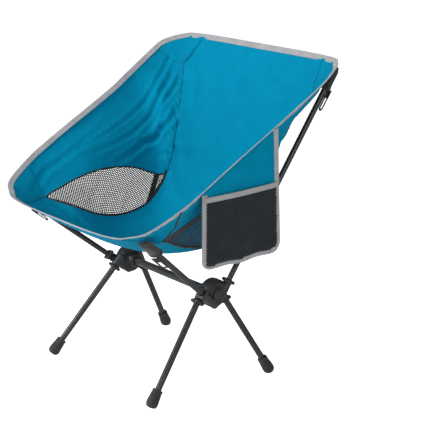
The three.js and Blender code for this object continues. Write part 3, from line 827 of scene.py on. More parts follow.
@dataclass
class SlingSurface:
    """The whole sling as one surface, from the front edge to the top edge and from rim to rim.

    A place on it is a station, 0 at the front edge and 13 at the top edge, and a reach, 0 on the middle
    line, 1 on the left seam, 2 on the left rim, and negative on the right.
    """

    shift: float
    rows: int = 157
    columns: int = 121
    slack: float = 0.0022
    most_drift: float = 6.0
    gather: float = 1.7
    gather_rate: float = 3.1
    gather_reach: float = 0.09
    window_first: float = 2.0
    window_last: float = 8.0
    folds: tuple[Fold, ...] = (
        *both_sides(((9.9, 1.02), (9.2, 1.12), (8.45, 1.28), (7.5, 1.36), (6.7, 1.43), (5.3, 1.43)), 9.0,
                    7.5),
        *both_sides(((10.6, 1.35), (9.4, 1.47), (8.0, 1.52), (6.4, 1.56), (4.6, 1.6)), 6.0, 6.5),
        *both_sides(((11.0, 1.55), (9.6, 1.62), (7.8, 1.67), (5.8, 1.7), (4.0, 1.7)), 4.6, 6.0),
        *both_sides(((10.8, 1.1), (9.8, 1.28), (8.8, 1.42), (7.4, 1.48), (6.0, 1.5)), 5.0, 5.5),
        *both_sides(((1.6, 1.3), (2.6, 1.62), (3.8, 1.72), (5.2, 1.78)), 2.2, 8.0),
        *both_sides(((9.0, 1.05), (8.3, 0.85), (7.8, 0.6), (7.6, 0.3)), 4.0, 13.0),
        *both_sides(((8.4, 1.03), (8.1, 1.12), (7.6, 1.22)), 4.5, 6.0),
        *both_sides(((8.9, 0.98), (8.6, 0.9), (8.4, 0.8)), 2.4, 6.0),
        *both_sides(((12.2, 0.86), (11.2, 0.72), (10.0, 0.66)), 2.2, 12.0),
        *both_sides(((2.2, 0.95), (2.6, 0.75), (2.8, 0.5)), 2.0, 12.0),
    )
    grid: Array = field(init=False)
    normals: Array = field(init=False)

    def __post_init__(self) -> None:
        """Builds the surface, relaxes it and presses the folds in."""
        offset = np.array([0.0, self.shift, 0.0])
        self.guides = [np.array(g) * MM + offset for g in (MIDDLE, SEAM, RIM)]
        self.stations = np.linspace(0, LAST, self.rows)
        self.reaches = np.linspace(-2, 2, self.columns)
        station, reach = np.meshgrid(self.stations, self.reaches, indexing="ij")
        self.grid = self.design(station, reach)
        self.find_normals()
        self.relax()
        station, reach = self.refine()
        self.press(station, reach)
        self.find_normals()

    def design(self, station: Array, reach: Array) -> Array:
        """The sling as it was cut and stretched, before it gives.

        Args:
            station: Stations.
            reach: Reaches, as many as stations.

        Returns:
            Points in metres.
        """
        away = np.abs(reach)[..., None]
        middle, seam, rim = (along_guide(g, station) for g in self.guides)
        endness = np.abs(2 * station / LAST - 1)[..., None] ** 6
        inner = seam + (middle - seam) * (1 - np.minimum(away, 1) ** (2 + 3 * endness))
        inner[..., 0] = seam[..., 0] * np.minimum(away[..., 0], 1)
        rise = rim - seam
        square = unit(np.array([0.0, 0.0, 1.0]) - rise * (rise[..., 2:] / (rise ** 2).sum(-1,
                                                                                          keepdims=True)))
        hollow = along_guide(np.array(HOLLOW, float), station)[..., :1] * 4 * (away - 1) * (2 - away)
        outer = seam + rise * (away - 1) + square * hollow * MM
        points = np.where(away <= 1, inner, outer)
        points[..., 0] *= np.where(reach < 0, -1, 1)
        return points

    def find_normals(self) -> None:
        """Takes the normals of the grid, a little way in from its narrow ends."""
        along = np.gradient(self.grid, axis=0)
        across = np.gradient(self.grid, axis=1)
        normals = unit(np.cross(across, along))
        margin = round(0.8 / LAST * (self.rows - 1))
        normals[:margin] = normals[margin]
        normals[-margin:] = normals[-margin - 1]
        self.normals = normals

    def relax(self) -> None:
        """Lets the cloth sag and buckle a little between its held edges, by simulation."""
        uv = np.zeros((self.rows, self.columns, 2))
        cloth = cloth_mesh("sling_cloth", self.grid, uv)
        held = cloth.vertex_groups.new(name="held")
        index = np.arange(self.rows * self.columns).reshape(self.rows, self.columns)
        edge = np.concatenate([index[:2].ravel(), index[-2:].ravel(), index[:, :2].ravel(),
                               index[:, -2:].ravel()])
        held.add(edge.tolist(), 1.0, "REPLACE")
        corner = np.concatenate([index[:14, :24].ravel(), index[:14, -24:].ravel(),
                                 index[-20:, :18].ravel(), index[-20:, -18:].ravel()])
        held.add(corner.tolist(), 0.6, "ADD")
        activate(cloth)
        modifier = cloth.modifiers.new("cloth", "CLOTH")
        settings = modifier.settings
        settings.quality = 6
        settings.mass = 0.12
        settings.tension_stiffness = settings.compression_stiffness = 25
        settings.shear_stiffness = 12
        settings.bending_stiffness = 0.4
        settings.air_damping = 4
        settings.vertex_group_mass = "held"
        settings.shrink_min = -self.slack
        settings.effector_weights.gravity = 0.35
        modifier.collision_settings.use_self_collision = False
        scene = bpy.context.scene
        modifier.point_cache.frame_start, modifier.point_cache.frame_end = 1, 18
        for number in range(1, 19):
            scene.frame_set(number)
        bpy.ops.object.modifier_apply(modifier=modifier.name)
        points = np.zeros(self.rows * self.columns * 3, np.float32)
        cloth.data.vertices.foreach_get("co", points)
        scene.frame_set(1)
        moved = points.reshape(self.grid.shape).astype(float) - self.grid
        size = np.linalg.norm(moved, axis=-1, keepdims=True)
        most = self.most_drift * MM
        self.grid = self.grid + moved / np.maximum(size, 1e-9) * most * np.tanh(size / most)
        LOG.info("the sling gave %.1f mm at most", 1000 * size.max())
        bpy.data.objects.remove(cloth)

    def refine(self, times: int = 2) -> tuple[Array, Array]:
        """Puts more points on the surface, for folds finer than its first grid.

        Args:
            times: How many steps each step becomes.

        Returns:
            The new grid's stations and reaches.
        """
        rows, columns = (times * (n - 1) + 1 for n in (self.rows, self.columns))
        station, reach = np.meshgrid(np.linspace(0, LAST, rows), np.linspace(-2, 2, columns),
                                     indexing="ij")
        self.grid = self.sample(self.grid, station, reach)
        self.rows, self.columns = rows, columns
        self.find_normals()
        return station, reach

    def press(self, station: Array, reach: Array) -> None:
        """Presses the folds into the surface.

        Args:
            station: The grid's stations.
            reach: The grid's reaches.
        """
        edge = np.minimum(np.minimum(station, LAST - station) / 0.5, (2 - np.abs(reach)) / 0.12).clip(0,
                                                                                                      1)
        total = np.zeros(station.shape)
        for fold in self.folds:
            line = np.array(fold.places)
            fine = np.linspace(0, len(line) - 1, 40)
            places = np.stack([np.interp(fine, np.arange(len(line)), line[:, k]) for k in (0, 1)], -1)
            path = self.design(places[:, 0], places[:, 1] * fold.side.value)
            apart = np.linalg.norm(self.grid[:, :, None] - path, axis=-1)
            nearest = apart.argmin(-1)
            fade = np.sin(np.pi * (nearest + 1) / (len(path) + 1)) ** 0.5
            distance = apart.min(-1) / (fold.width * MM)
            profile = -np.exp(-distance ** 2) + 0.45 * np.exp(-((distance - 1.7) ** 2) / 0.6)
            total += fold.depth * MM * fade * profile * (np.sign(reach) == fold.side.value)
        ripple = np.sin(2 * np.pi * station * self.gather_rate + 1.4 * np.sin(station * 4.3))
        beside = np.exp(-((np.abs(reach) - 1) / self.gather_reach) ** 2)
        near_seam = beside * np.exp(-((station - 8.6) / 2.4) ** 4)
        near_rim = np.exp(-((2 - np.abs(reach)) / 0.1) ** 2) * 0.35
        total += self.gather * MM * ripple * (near_seam + near_rim)
        self.grid = self.grid + self.normals * (total * edge)[..., None]

    def sample(self, field_values: Array, station: Array, reach: Array) -> Array:
        """Smooth values between the grid's points.

        Args:
            field_values: Rows by columns by 3.
            station: Stations.
            reach: Reaches.

        Returns:
            A value for each place.
        """
        row = np.clip(station / LAST, 0, 1) * (self.rows - 1)
        column = np.clip((reach + 2) / 4, 0, 1) * (self.columns - 1)
        total = 0.0
        for i, a in zip(range(-1, 3), self.weights(row)):
            for j, b in zip(range(-1, 3), self.weights(column)):
                r = np.clip(np.floor(row).astype(int) + i, 0, self.rows - 1)
                c = np.clip(np.floor(column).astype(int) + j, 0, self.columns - 1)
                total = total + field_values[r, c] * (a * b)[..., None]
        return total

    @staticmethod
    def weights(place: Array) -> tuple[Array, ...]:
        """The shares of four neighbours in a smooth value between the middle two."""
        t = place - np.floor(place)
        return (
            -0.5 * t + t ** 2 - 0.5 * t ** 3, 1 - 2.5 * t ** 2 + 1.5 * t ** 3,
            0.5 * t + 2 * t ** 2 - 1.5 * t ** 3, -0.5 * t ** 2 + 0.5 * t ** 3,
        )

    def at(self, station: Array, reach: Array, lift: Union[float, Array] = 0.0) -> Array:
        """Points on the cloth.

        Args:
            station: Stations.
            reach: Reaches.
            lift: Millimetres above it, on the sitter's side, for all places or for each.

        Returns:
            Points in metres.
        """
        raised = self.normal(station, reach) * np.asarray(lift)[..., None] * MM
        return self.sample(self.grid, station, reach) + raised

    def normal(self, station: Array, reach: Array) -> Array:
        """The directions that face the sitter."""
        return unit(self.sample(self.normals, station, reach))

    def side_width(self, station: Array, side: Side) -> Array:
        """Metres from the seam to the rim."""
        s = np.asarray(station, float)
        return np.linalg.norm(self.at(s, s * 0 + 2 * side.value) - self.at(s, s * 0 + side.value),
                              axis=-1)

    def window(self, station: Array) -> Array:
        """How much of the side the mesh window takes."""
        span = self.window_last - self.window_first
        along = ((np.asarray(station) - self.window_first) / span).clip(0, 1)
        return 1.81 * along ** 0.8 * (1 - along) ** 1.35


# ---------------------------------------------------------------- sewn work


@dataclass
class Tape:
    """A folded or flat tape sewn along a line, with its sizes in millimetres."""

    width: float
    cloth: float = 0.45
    stands: float = 0.75
    pucker: float = 0.16
    pucker_length: float = 7.5

    def folded(self, name: str, points: Array, inward: Array, normal: Array,
               looped: bool) -> bpy.types.Object:
        """A tape folded round an edge.

        Args:
            name: The object's name.
            points: The edge.
            inward: Directions from the edge into the cloth.
            normal: Directions of the cloth's upper face.
            looped: Whether the edge is a closed loop.

        Returns:
            The tape.
        """
        w, s = self.width, self.stands
        profile = [(w, 0.62 * s), (0.93 * w, 0.86 * s), (0.62 * w, s), (0.3 * w, 1.12 * s),
                   (0.08 * w, 1.15 * s),
                   (-0.35, 0.8 * s), (-0.75, 0.0)]
        profile += [(a, -b) for a, b in reversed(profile[:-1])]
        whole = np.vstack([points, points[:1]]) if looped else points
        along = lengths(whole)
        phase = 2 * np.pi * along[: len(points)] / (self.pucker_length * MM)
        wave = np.sin(phase) + 0.5 * np.sin(0.37 * phase + 1.3)
        rows = []
        for inset, height in profile:
            swell = height * (1 + self.pucker * wave * (0.4 + abs(inset) / w))
            drift = inset + 0.22 * wave * max(0.0, inset / w) ** 2
            rows.append(points + inward * drift[:, None] * MM + normal * swell[:, None] * MM)
        across = lengths(np.array([(a * MM, b * MM, 0) for a, b in profile]))
        uv = np.stack(np.broadcast_arrays(across[None, :], along[:, None]), -1)
        return thicken(cloth_mesh(name, np.stack(rows, 1), uv[: len(points) + looped], looped),
                       self.cloth)

    def flat(self, name: str, points: Array, across: Array, normal: Array) -> bpy.types.Object:
        """A flat tape centred on a line, round both faces of the cloth.

        Args:
            name: The object's name.
            points: The line.
            across: Directions over the tape's width.
            normal: Directions of the cloth's upper face.

        Returns:
            The tape.
        """
        half, s = self.width / 2, self.stands
        profile = [(half, 0.0), (0.92 * half, 0.8 * s), (0.5 * half, s), (0, 0.9 * s), (-0.5 * half, s),
                   (-0.92 * half, 0.8 * s), (-half, 0.0)]
        profile += [(a, -b) for a, b in reversed(profile[1:-1])]
        along = lengths(points)
        wave = np.sin(2 * np.pi * along / (self.pucker_length * MM))
        rows = [points + across * a * MM + normal * (b * (1 + self.pucker * wave))[:, None] * MM for a,
                b in profile]
        reach = lengths(np.array([(a * MM, b * MM, 0) for a, b in profile + profile[:1]]))
        uv = np.stack(np.broadcast_arrays(reach[:, None], along[None, :]), -1)
        return closed(cloth_mesh(name, np.stack(rows), uv, True))


@dataclass
class Stitching:
    """A row of stitches, with its sizes in millimetres."""

    pitch: float = 4.6
    length: float = 3.2
    radius: float = 0.42

    def sew(self, name: str, points: Array, normal: Array, looped: bool = False) -> bpy.types.Object:
        """Makes the stitches along a line.

        Args:
            name: The object's name.
            points: The line, on the cloth's face.
            normal: Directions out of the cloth.
            looped: Whether the line is closed.

        Returns:
            The stitches as one object.
        """
        if looped:
            points, normal = np.vstack([points, points[:1]]), np.vstack([normal, normal[:1]])
        along = lengths(points)
        starts = np.arange(0.5 * self.pitch * MM, along[-1] - self.length * MM, self.pitch * MM)
        rings = [(0.0, 0.25), (0.2, 0.9), (0.8, 0.9), (1.0, 0.25)]
        sides = 5
        vertices, faces = [], []
        for start in starts:
            for share, size in rings:
                place = start + share * self.length * MM
                centre = np.array([np.interp(place, along, points[:, k]) for k in range(3)])
                ahead = np.array([np.interp(place + MM, along, points[:, k]) for k in range(3)])
                up = np.array([np.interp(place, along, normal[:, k]) for k in range(3)])
                out = np.cross(unit(ahead - centre + 1e-12), unit(up))
                for k in range(sides):
                    turn = 2 * np.pi * k / sides
                    spoke = out * np.cos(turn) + up * np.sin(turn)
                    vertices.append(centre + self.radius * MM * size * spoke)
            base = len(vertices) - len(rings) * sides
            for ring in range(len(rings) - 1):
                low = base + ring * sides
                for k in range(sides):
                    n = (k + 1) % sides
                    faces.append((low + k, low + n, low + sides + n, low + sides + k))
        corners = np.tile([[0, 0], [MM, 0], [MM, MM], [0, MM]], (len(faces), 1))
        return closed(mesh_of(name, np.array(vertices), np.array(faces), corners))


@dataclass
class Net:
    """Knitted net: yarn round holes in rows, with its sizes in millimetres."""

    pitch: float
    hole: float
    yarn: float

    def knit(self, name: str, inside: Callable[[Array, Array], Array],
             to_surface: Callable[[Array, Array], Array],
             span: tuple[float, float, float, float]) -> bpy.types.Object:
        """Makes the net over a region of a flat pattern.

        Args:
            name: The object's name.
            inside: Tells which pattern points, in metres, are in the region.
            to_surface: Turns pattern points into points in space.
            span: The pattern's lowest and highest U, then V.

        Returns:
            The net.
        """
        pitch = self.pitch * MM
        columns = np.arange(math.floor(span[0] / pitch) - 1, math.ceil(span[1] / pitch) + 2)
        lines = np.arange(math.floor(span[2] / pitch / 0.866) - 1, math.ceil(span[3] / pitch / 0.866) + 2)
        column, line = (a.ravel() for a in np.meshgrid(columns, lines))
        centres = np.stack([(column + 0.5 * (line % 2)) * pitch, line * pitch * 0.866], -1)
        centres = centres[inside(centres[:, 0], centres[:, 1])]
        turns = np.pi / 6 + np.arange(6) * np.pi / 3
        ring = np.stack([np.cos(turns), np.sin(turns)], -1) * pitch / math.sqrt(3)
        outer = centres[:, None] + ring
        keys = np.round(outer / (pitch * 0.02)).astype(int)
        flat_keys, index = np.unique(keys.reshape(-1, 2), axis=0, return_inverse=True)
        shared = np.zeros((len(flat_keys), 2))
        shared[index.ravel()] = outer.reshape(-1, 2)
        inner = centres[:, None] + ring * self.hole
        index = index.reshape(-1, 6)
        holes = len(shared) + np.arange(len(centres) * 6).reshape(-1, 6)
        following = np.roll(np.arange(6), -1)
        faces = np.stack([index, index[:, following], holes[:, following], holes], -1).reshape(-1, 4)
        pattern = np.vstack([shared, inner.reshape(-1, 2)])
        points = to_surface(pattern[:, 0], pattern[:, 1])
        net = mesh_of(name, points, faces, pattern[faces].reshape(-1, 2))
        return thicken(net, self.yarn)


class Sling:
    """The sling's cloth: the middle panel, the two sides with their mesh windows, and all sewn work."""

    def __init__(self, surface: SlingSurface, finishes: Finishes) -> None:
        """Keeps the surface and the finishes."""
        self.surface = surface
        self.finishes = finishes
        self.trim: list[bpy.types.Object] = []
        self.cloth = 0.7
        self.edge = np.zeros((0, 3))
        self.binding = Tape(width=12.0, stands=0.95)

    def build(self) -> None:
        """Builds every piece of the sling."""
        self.edge_binding()
        for side in Side:
            self.seam(side)
            self.side_panel(side)
            self.mesh_window(side)
            self.reinforcement(side)
            for end in End:
                self.corner_patch(side, end)
        self.middle_panel()

    def panel(self, name: str, station: Array, reach: Array,
              lift: Union[float, Array] = 0.0) -> tuple[bpy.types.Object, tuple]:
        """A panel over a grid of places.

        Args:
            name: The object's name.
            station: Stations, rows by columns.
            reach: Reaches, rows by columns.
            lift: Millimetres above the surface.

        Returns:
            The panel, and its flat width, length and area.
        """
        points = self.surface.at(station, reach, lift)
        middle = reach.shape[1] // 2
        along = lengths(points[:, middle])
        across = np.concatenate([np.zeros((len(points), 1)),
                                 np.cumsum(np.linalg.norm(np.diff(points, axis=1), axis=-1), axis=1)],
                                axis=1)
        across -= across[:, middle: middle + 1]
        uv = np.stack(np.broadcast_arrays(across, along[:, None]), -1)
        obj = cloth_mesh(name, points, uv)
        area = sum(p.area for p in obj.data.polygons)
        size = (float(np.ptp(across)), float(along[-1]))
        return thicken(obj, self.cloth), (*size, min(area, size[0] * size[1]))

    def add_trim(self, obj: bpy.types.Object, material: bpy.types.Material,
                 nodes: Sequence[str] = ()) -> None:
        """Dresses a tape or a row of stitches and counts it as trim."""
        self.trim.append(dress(obj, "frame", material, nodes))

    def middle_panel(self) -> None:
        """The seat and back in one length of cloth."""
        stations = np.linspace(0.1, LAST - 0.1, 200)
        station, reach = np.meshgrid(stations, np.linspace(-0.998, 0.998, 85), indexing="ij")
        obj, size = self.panel("seat_and_back_cloth", station, reach)
        dress(obj, "frame", self.finishes.teal, ["seat_back_panel"])

    def side_panel(self, side: Side) -> None:
        """A side of the sling, from the window or the seam to the rim."""
        stations = np.linspace(0.35, LAST - 0.35, 200)
        share = np.linspace(0, 1, 45)
        station = np.repeat(stations[:, None], len(share), 1)
        low = self.surface.window(stations)[:, None]
        inset = np.minimum(5 * MM / self.surface.side_width(stations, side), 0.4)[:, None]
        reach = (1 + low + (1 - inset - low) * share) * side.value
        obj, size = self.panel(f"side_cloth_{side.word}", station[:, :: side.value],
                               reach[:, :: side.value])
        dress(obj, "frame", self.finishes.teal, [f"side_panel_{side.word}"])

    def mesh_window(self, side: Side) -> None:
        """The net between the middle panel and a side, with its dark tapes."""
        surface = self.surface
        stations = np.linspace(surface.window_first, surface.window_last, 160)
        along = lengths(surface.at(stations, stations * 0 + side.value))
        widths = surface.side_width(stations, side)
        depth = surface.window(stations) * widths

        def to_surface(u: Array, v: Array) -> Array:
            """Pattern points onto the side's surface."""
            station = np.interp(u, along, stations)
            top = np.interp(u, along, depth)
            reach = 1 + np.clip(v, 0, top) / np.interp(u, along, widths)
            return surface.at(station, reach * side.value)

        def inside(u: Array, v: Array) -> Array:
            """Whether pattern points are in the window."""
            return (u > 0) & (u < along[-1]) & (v > -2 * MM) & (v < np.interp(u, along, depth) + 2 * MM)

        net = Net(pitch=4.6, hole=0.53, yarn=0.7)
        obj = net.knit(f"window_net_{side.word}", inside, to_surface, (0, along[-1], 0, depth.max()))
        dress(obj, "frame", self.finishes.net, [f"mesh_window_{side.word}"])
        for part, share in (("lower", stations * 0), ("upper", surface.window(stations))):
            reach = (1 + share) * side.value
            line = surface.at(stations, reach)
            normal = surface.normal(stations, reach)
            across = unit(np.cross(np.gradient(line, axis=0), normal))
            width = 7.0 if part == "lower" else 3.0
            tape = Tape(width=width, stands=1.0).flat(f"window_{part}_tape_{side.word}", line, across,
                                                      normal)
            self.add_trim(tape, self.finishes.dark_tape)

    def seam(self, side: Side) -> None:
        """The felled seam between the middle panel and a side, with two rows of stitches."""
        surface = self.surface
        places = np.linspace(0.15, LAST - 0.15, 500)
        keep = (places < surface.window_first) | (places > surface.window_last)
        for part, stations in (("front", places[keep & (places < 5)]),
                               ("rear", places[keep & (places > 5)])):
            reach = stations * 0 + side.value
            line, normal = surface.at(stations, reach), surface.normal(stations, reach)
            across = unit(np.cross(np.gradient(line, axis=0), normal))
            seam = Tape(width=9.0, stands=1.3, pucker=0.3,
                        pucker_length=9.0).flat(f"{part}_seam_{side.word}", line, across, normal)
            self.add_trim(seam, self.finishes.teal)
            for row, offset in (("inner", -2.6), ("outer", 2.6)):
                for face, up in (("top", 1.0), ("under", -1.0)):
                    path = line + across * offset * MM + normal * up * 1.4 * MM
                    stitches = Stitching().sew(f"{part}_seam_{row}_{face}_stitches_{side.word}", path,
                                               normal * up)
                    self.add_trim(stitches, self.finishes.teal_thread)

    def corner_patch(self, side: Side, end: End) -> None:
        """The second layer of cloth over a corner."""
        stations = np.linspace(0.12, 1.9, 50) if end is End.FRONT else np.linspace(10.4, LAST - 0.12, 80)
        if end is End.FRONT:
            start = 1 - 0.18 * (1 - stations / 1.9)
        else:
            above = np.maximum(stations - 11.5, 0)
            start = np.where(stations < 11.5, 1 + 0.98 * (11.5 - stations) / 1.1,
                             1 - 0.18 * np.sqrt(above / 1.5))
        inset = np.minimum(5 * MM / self.surface.side_width(stations, side), 0.4)
        share = np.linspace(0, 1, 30)
        reach = (start[:, None] + (2 - inset - start)[:, None] * share) * side.value
        station = np.repeat(stations[:, None], len(share), 1)
        name = f"{end.value}_{side.word}_patch"
        apart = np.linalg.norm(self.surface.at(station, reach)[:, :, None] - self.edge[:: 4],
                               axis=-1).min(-1)
        lift = 0.95 * ((apart / MM - self.binding.width) / 5).clip(0, 1)
        obj, size = self.panel(name, station[:, :: side.value], reach[:, :: side.value],
                               lift[:, :: side.value])
        dress(obj, "frame", self.finishes.teal, [f"{end.value}_{side.word}_corner_patch"])
        edge_reach = (start + 0.02) * side.value
        points = self.surface.at(stations, edge_reach, lift=1.6)
        stitches = Stitching().sew(f"{name}_stitches", points, self.surface.normal(stations, edge_reach))
        self.add_trim(stitches, self.finishes.teal_thread)

    def reinforcement(self, side: Side) -> None:
        """The dark tape on the underside, from the rim to the front tip of the mesh window."""
        places = np.array([(2.02, 1.97), (2.14, 1.7), (2.22, 1.4), (2.14, 1.15), (1.98, 1.0)])
        fine = np.linspace(0, 4, 40)
        stations, reach = (np.interp(fine, np.arange(5), places[:, k]) for k in (0, 1))
        line = self.surface.at(stations, reach * side.value, -0.9)
        normal = self.surface.normal(stations, reach * side.value)
        across = unit(np.cross(np.gradient(line, axis=0), normal))
        tape = Tape(width=5.0, stands=0.6).flat(f"corner_tape_{side.word}", line, across, normal)
        self.add_trim(tape, self.finishes.dark_tape)

    def edge_line(self) -> tuple[Array, Array, Array]:
        """The sling's whole edge.

        Returns:
            Points about 3 mm apart, with the inward and the upward direction of each.
        """
        rim = np.linspace(0, LAST, 300)
        end = np.linspace(1, -1, 120)[1:-1] * 1.999
        station = np.concatenate([rim, end * 0 + LAST, rim[::-1], end * 0])
        reach = np.concatenate([rim * 0 + 2, end, rim * 0 - 2, -end])
        points, normal = self.surface.at(station, reach), self.surface.normal(station, reach)
        places, _ = spaced(np.vstack([points, points[:1]]), 3.2 * MM)
        index = places[:-1]
        looped = [np.vstack([a, a[:1]]) for a in (points, normal)]
        points, normal = (
            np.stack([np.interp(index, np.arange(len(a)), a[:, k]) for k in range(3)], -1) for a in looped
        )
        points, normal = blurred(points), unit(blurred(normal))
        tangent = unit(np.roll(points, -2, axis=0) - np.roll(points, 2, axis=0))
        return points, unit(np.cross(normal, tangent)), normal

    def edge_binding(self) -> None:
        """The grey tape folded round the whole edge, with its stitches."""
        points, inward, normal = self.edge_line()
        self.edge = points
        tape = self.binding.folded("edge_tape", points, inward, normal, True)
        self.add_trim(tape, self.finishes.tape, ["edge_binding"])
        for face, up in (("top", 1.0), ("under", -1.0)):
            path = points + inward * 9.8 * MM + normal * up * 1.05 * MM
            stitches = Stitching().sew(f"edge_tape_{face}_stitches", path, normal * up, True)
            self.add_trim(stitches, self.finishes.thread)


# ---------------------------------------------------------------- the tube frame

HUB_CENTRE = (144.6, 26.8, 193.1)
POLE_ENDS = {End.FRONT: (224.8, -196.2, 353.6), End.REAR: (227.2, 265.8, 631.0)}
POLE_STARTS = {End.FRONT: (4.6, 0.0, -24.2), End.REAR: (9.7, 19.1, 0.0)}
LEG_ENDS = {End.FRONT: (178.5, -150.0, 11.0), End.REAR: (178.5, 150.0, 11.0)}
LEG_STARTS = {End.FRONT: (-1.0, -29.9, 0.0), End.REAR: (-6.4, 21.5, 0.0)}


@dataclass(frozen=True)
class Line:
    """A straight axis in the hub's own frame, in millimetres, on the left side."""

    start: Vector
    direction: Vector

    @classmethod
    def between(cls, offset: Sequence[float], far: Sequence[float]) -> "Line":
        """The axis from a point given from the hub's centre to a point of the chair."""
        start = Vector(offset)
        return cls(start, (Vector(far) - Vector(HUB_CENTRE) - start).normalized())

    def at(self, distance: float) -> Vector:
        """The point at a distance along it, in metres."""
        return (self.start + self.direction * distance) * MM


@dataclass(frozen=True)
class Socket:
    """A blind bore of a hub with its arm and its square collar, in millimetres."""

    line: Line
    bottom: float
    mouth: float
    bore: float


class HubShell:
    """A moulded hub: a drum, a long or short arm for each tube, and the crossbar's ring."""

    def __init__(self) -> None:
        """Lists the sockets."""
        legs = {End.FRONT: (-12.0, 20.0), End.REAR: (-18.0, 29.0)}
        poles = {End.FRONT: (-4.0, 60.0), End.REAR: (-13.0, 28.0)}
        self.sockets = [Socket(Line.between(LEG_STARTS[e], LEG_ENDS[e]), *legs[e], 6.5) for e in End]
        self.sockets += [Socket(Line.between(POLE_STARTS[e], POLE_ENDS[e]), *poles[e], 5.8) for e in End]
        self.wall = 2.8
        self.grain = 0.95

    def drum(self) -> bpy.types.Object:
        """The drum with its stepped outer face."""
        profile = [(0.05, -11), (24, -11), (27, -10.2), (29, -8.2), (29.5, -6), (29.5, 9.5), (29, 11.5),
                   (27.8, 12.6),
                   (25.2, 12.9), (24.6, 15.6), (23.4, 17), (19, 17), (18, 15.4), (15.8, 15.4), (15, 17),
                   (0.05, 17)]
        drum = turned("drum", profile)
        return put(drum, Matrix.Rotation(math.pi / 2, 4, "Y"))

    def crossbar_ring(self) -> bpy.types.Object:
        """The ring round the crossbar's end."""
        profile = [(0.05, 6), (15.5, 6), (14.6, 13), (12.9, 20), (12.6, 24), (14, 24.6), (14.2, 25.4),
                   (14.2, 27.6),
                   (13.4, 28.5), (0.05, 28.5)]
        return put(turned("crossbar_ring", profile), Matrix.Rotation(-math.pi / 2, 4, "Y"))

    def arm(self, socket: Socket) -> bpy.types.Object:
        """The round arm of a socket, thicker towards the drum."""
        radius = socket.bore + self.wall
        length = socket.mouth - socket.bottom + self.wall
        profile = [(0.05, 0), (radius - 1, 0), (radius + 0.6, 2), (radius + 0.5, 0.55 * length),
                   (radius, 0.8 * length),
                   (radius, length), (0.05, length)]
        place = basis(socket.line.at(socket.bottom - self.wall), socket.line.direction, Vector((1, 0, 0)))
        return put(turned("arm", profile, 40), place)

    def collar(self, socket: Socket) -> bpy.types.Object:
        """The square collar at a socket's mouth."""
        deselect()
        bpy.ops.mesh.primitive_cube_add(size=1)
        collar = bpy.context.object
        collar.scale = (22 * MM, 22 * MM, 7 * MM)
        settle(collar)
        with editing(collar, "EDGE"):
            bpy.ops.mesh.select_all(action="SELECT")
            bpy.ops.mesh.bevel(offset=2.2 * MM, segments=3, affect="EDGES")
        place = basis(socket.line.at(socket.mouth - 3.5), socket.line.direction, Vector((1, 0, 0)))
        return put(collar, place)

    def web(self, socket: Socket) -> bpy.types.Object:
        """A stiffening web between an arm and the drum."""
        deselect()
        bpy.ops.mesh.primitive_cube_add(size=1)
        web = bpy.context.object
        web.scale = (3 * MM, 19 * MM, 0.72 * socket.mouth * MM)
        settle(web)
        place = basis(socket.line.at(0.42 * socket.mouth), socket.line.direction, Vector((1, 0, 0)))
        return put(web, place)

    def build(self) -> bpy.types.Object:
        """Moulds the left hub.

        Returns:
            The hub, with its centre at the origin.
        """
        parts = [self.drum(), self.crossbar_ring()]
        for socket in self.sockets:
            parts += [self.arm(socket), self.collar(socket), self.web(socket)]
        hub = joined("hub_shell", parts)
        modify(hub, "REMESH", mode="VOXEL", voxel_size=self.grain * MM, use_smooth_shade=True)
        modify(hub, "SMOOTH", factor=0.5, iterations=5)
        cutters = []
        for socket in self.sockets:
            length = socket.mouth - socket.bottom + 5
            radius = socket.bore + 0.25
            cutter = turned("bore",
                            [(0.05, 0), (radius, 0), (radius, length - 5.8), (radius + 0.9, length - 4.6),
                                     (radius + 0.9, length), (0.05, length)], 40)
            place = basis(socket.line.at(socket.bottom), socket.line.direction, Vector((1, 0, 0)))
            cutters.append(put(cutter, place))
        cross = turned("bore", [(0.05, -4.3), (8.25, -4.3), (8.25, 28), (9, 29), (9, 34), (0.05, 34)], 48)
        cutters.append(put(cross, Matrix.Rotation(-math.pi / 2, 4, "Y")))
        for cutter in cutters:
            modify(hub, "BOOLEAN", operation="DIFFERENCE", object=cutter, solver="EXACT")
            bpy.data.objects.remove(cutter)
        return smooth(hub, 35)


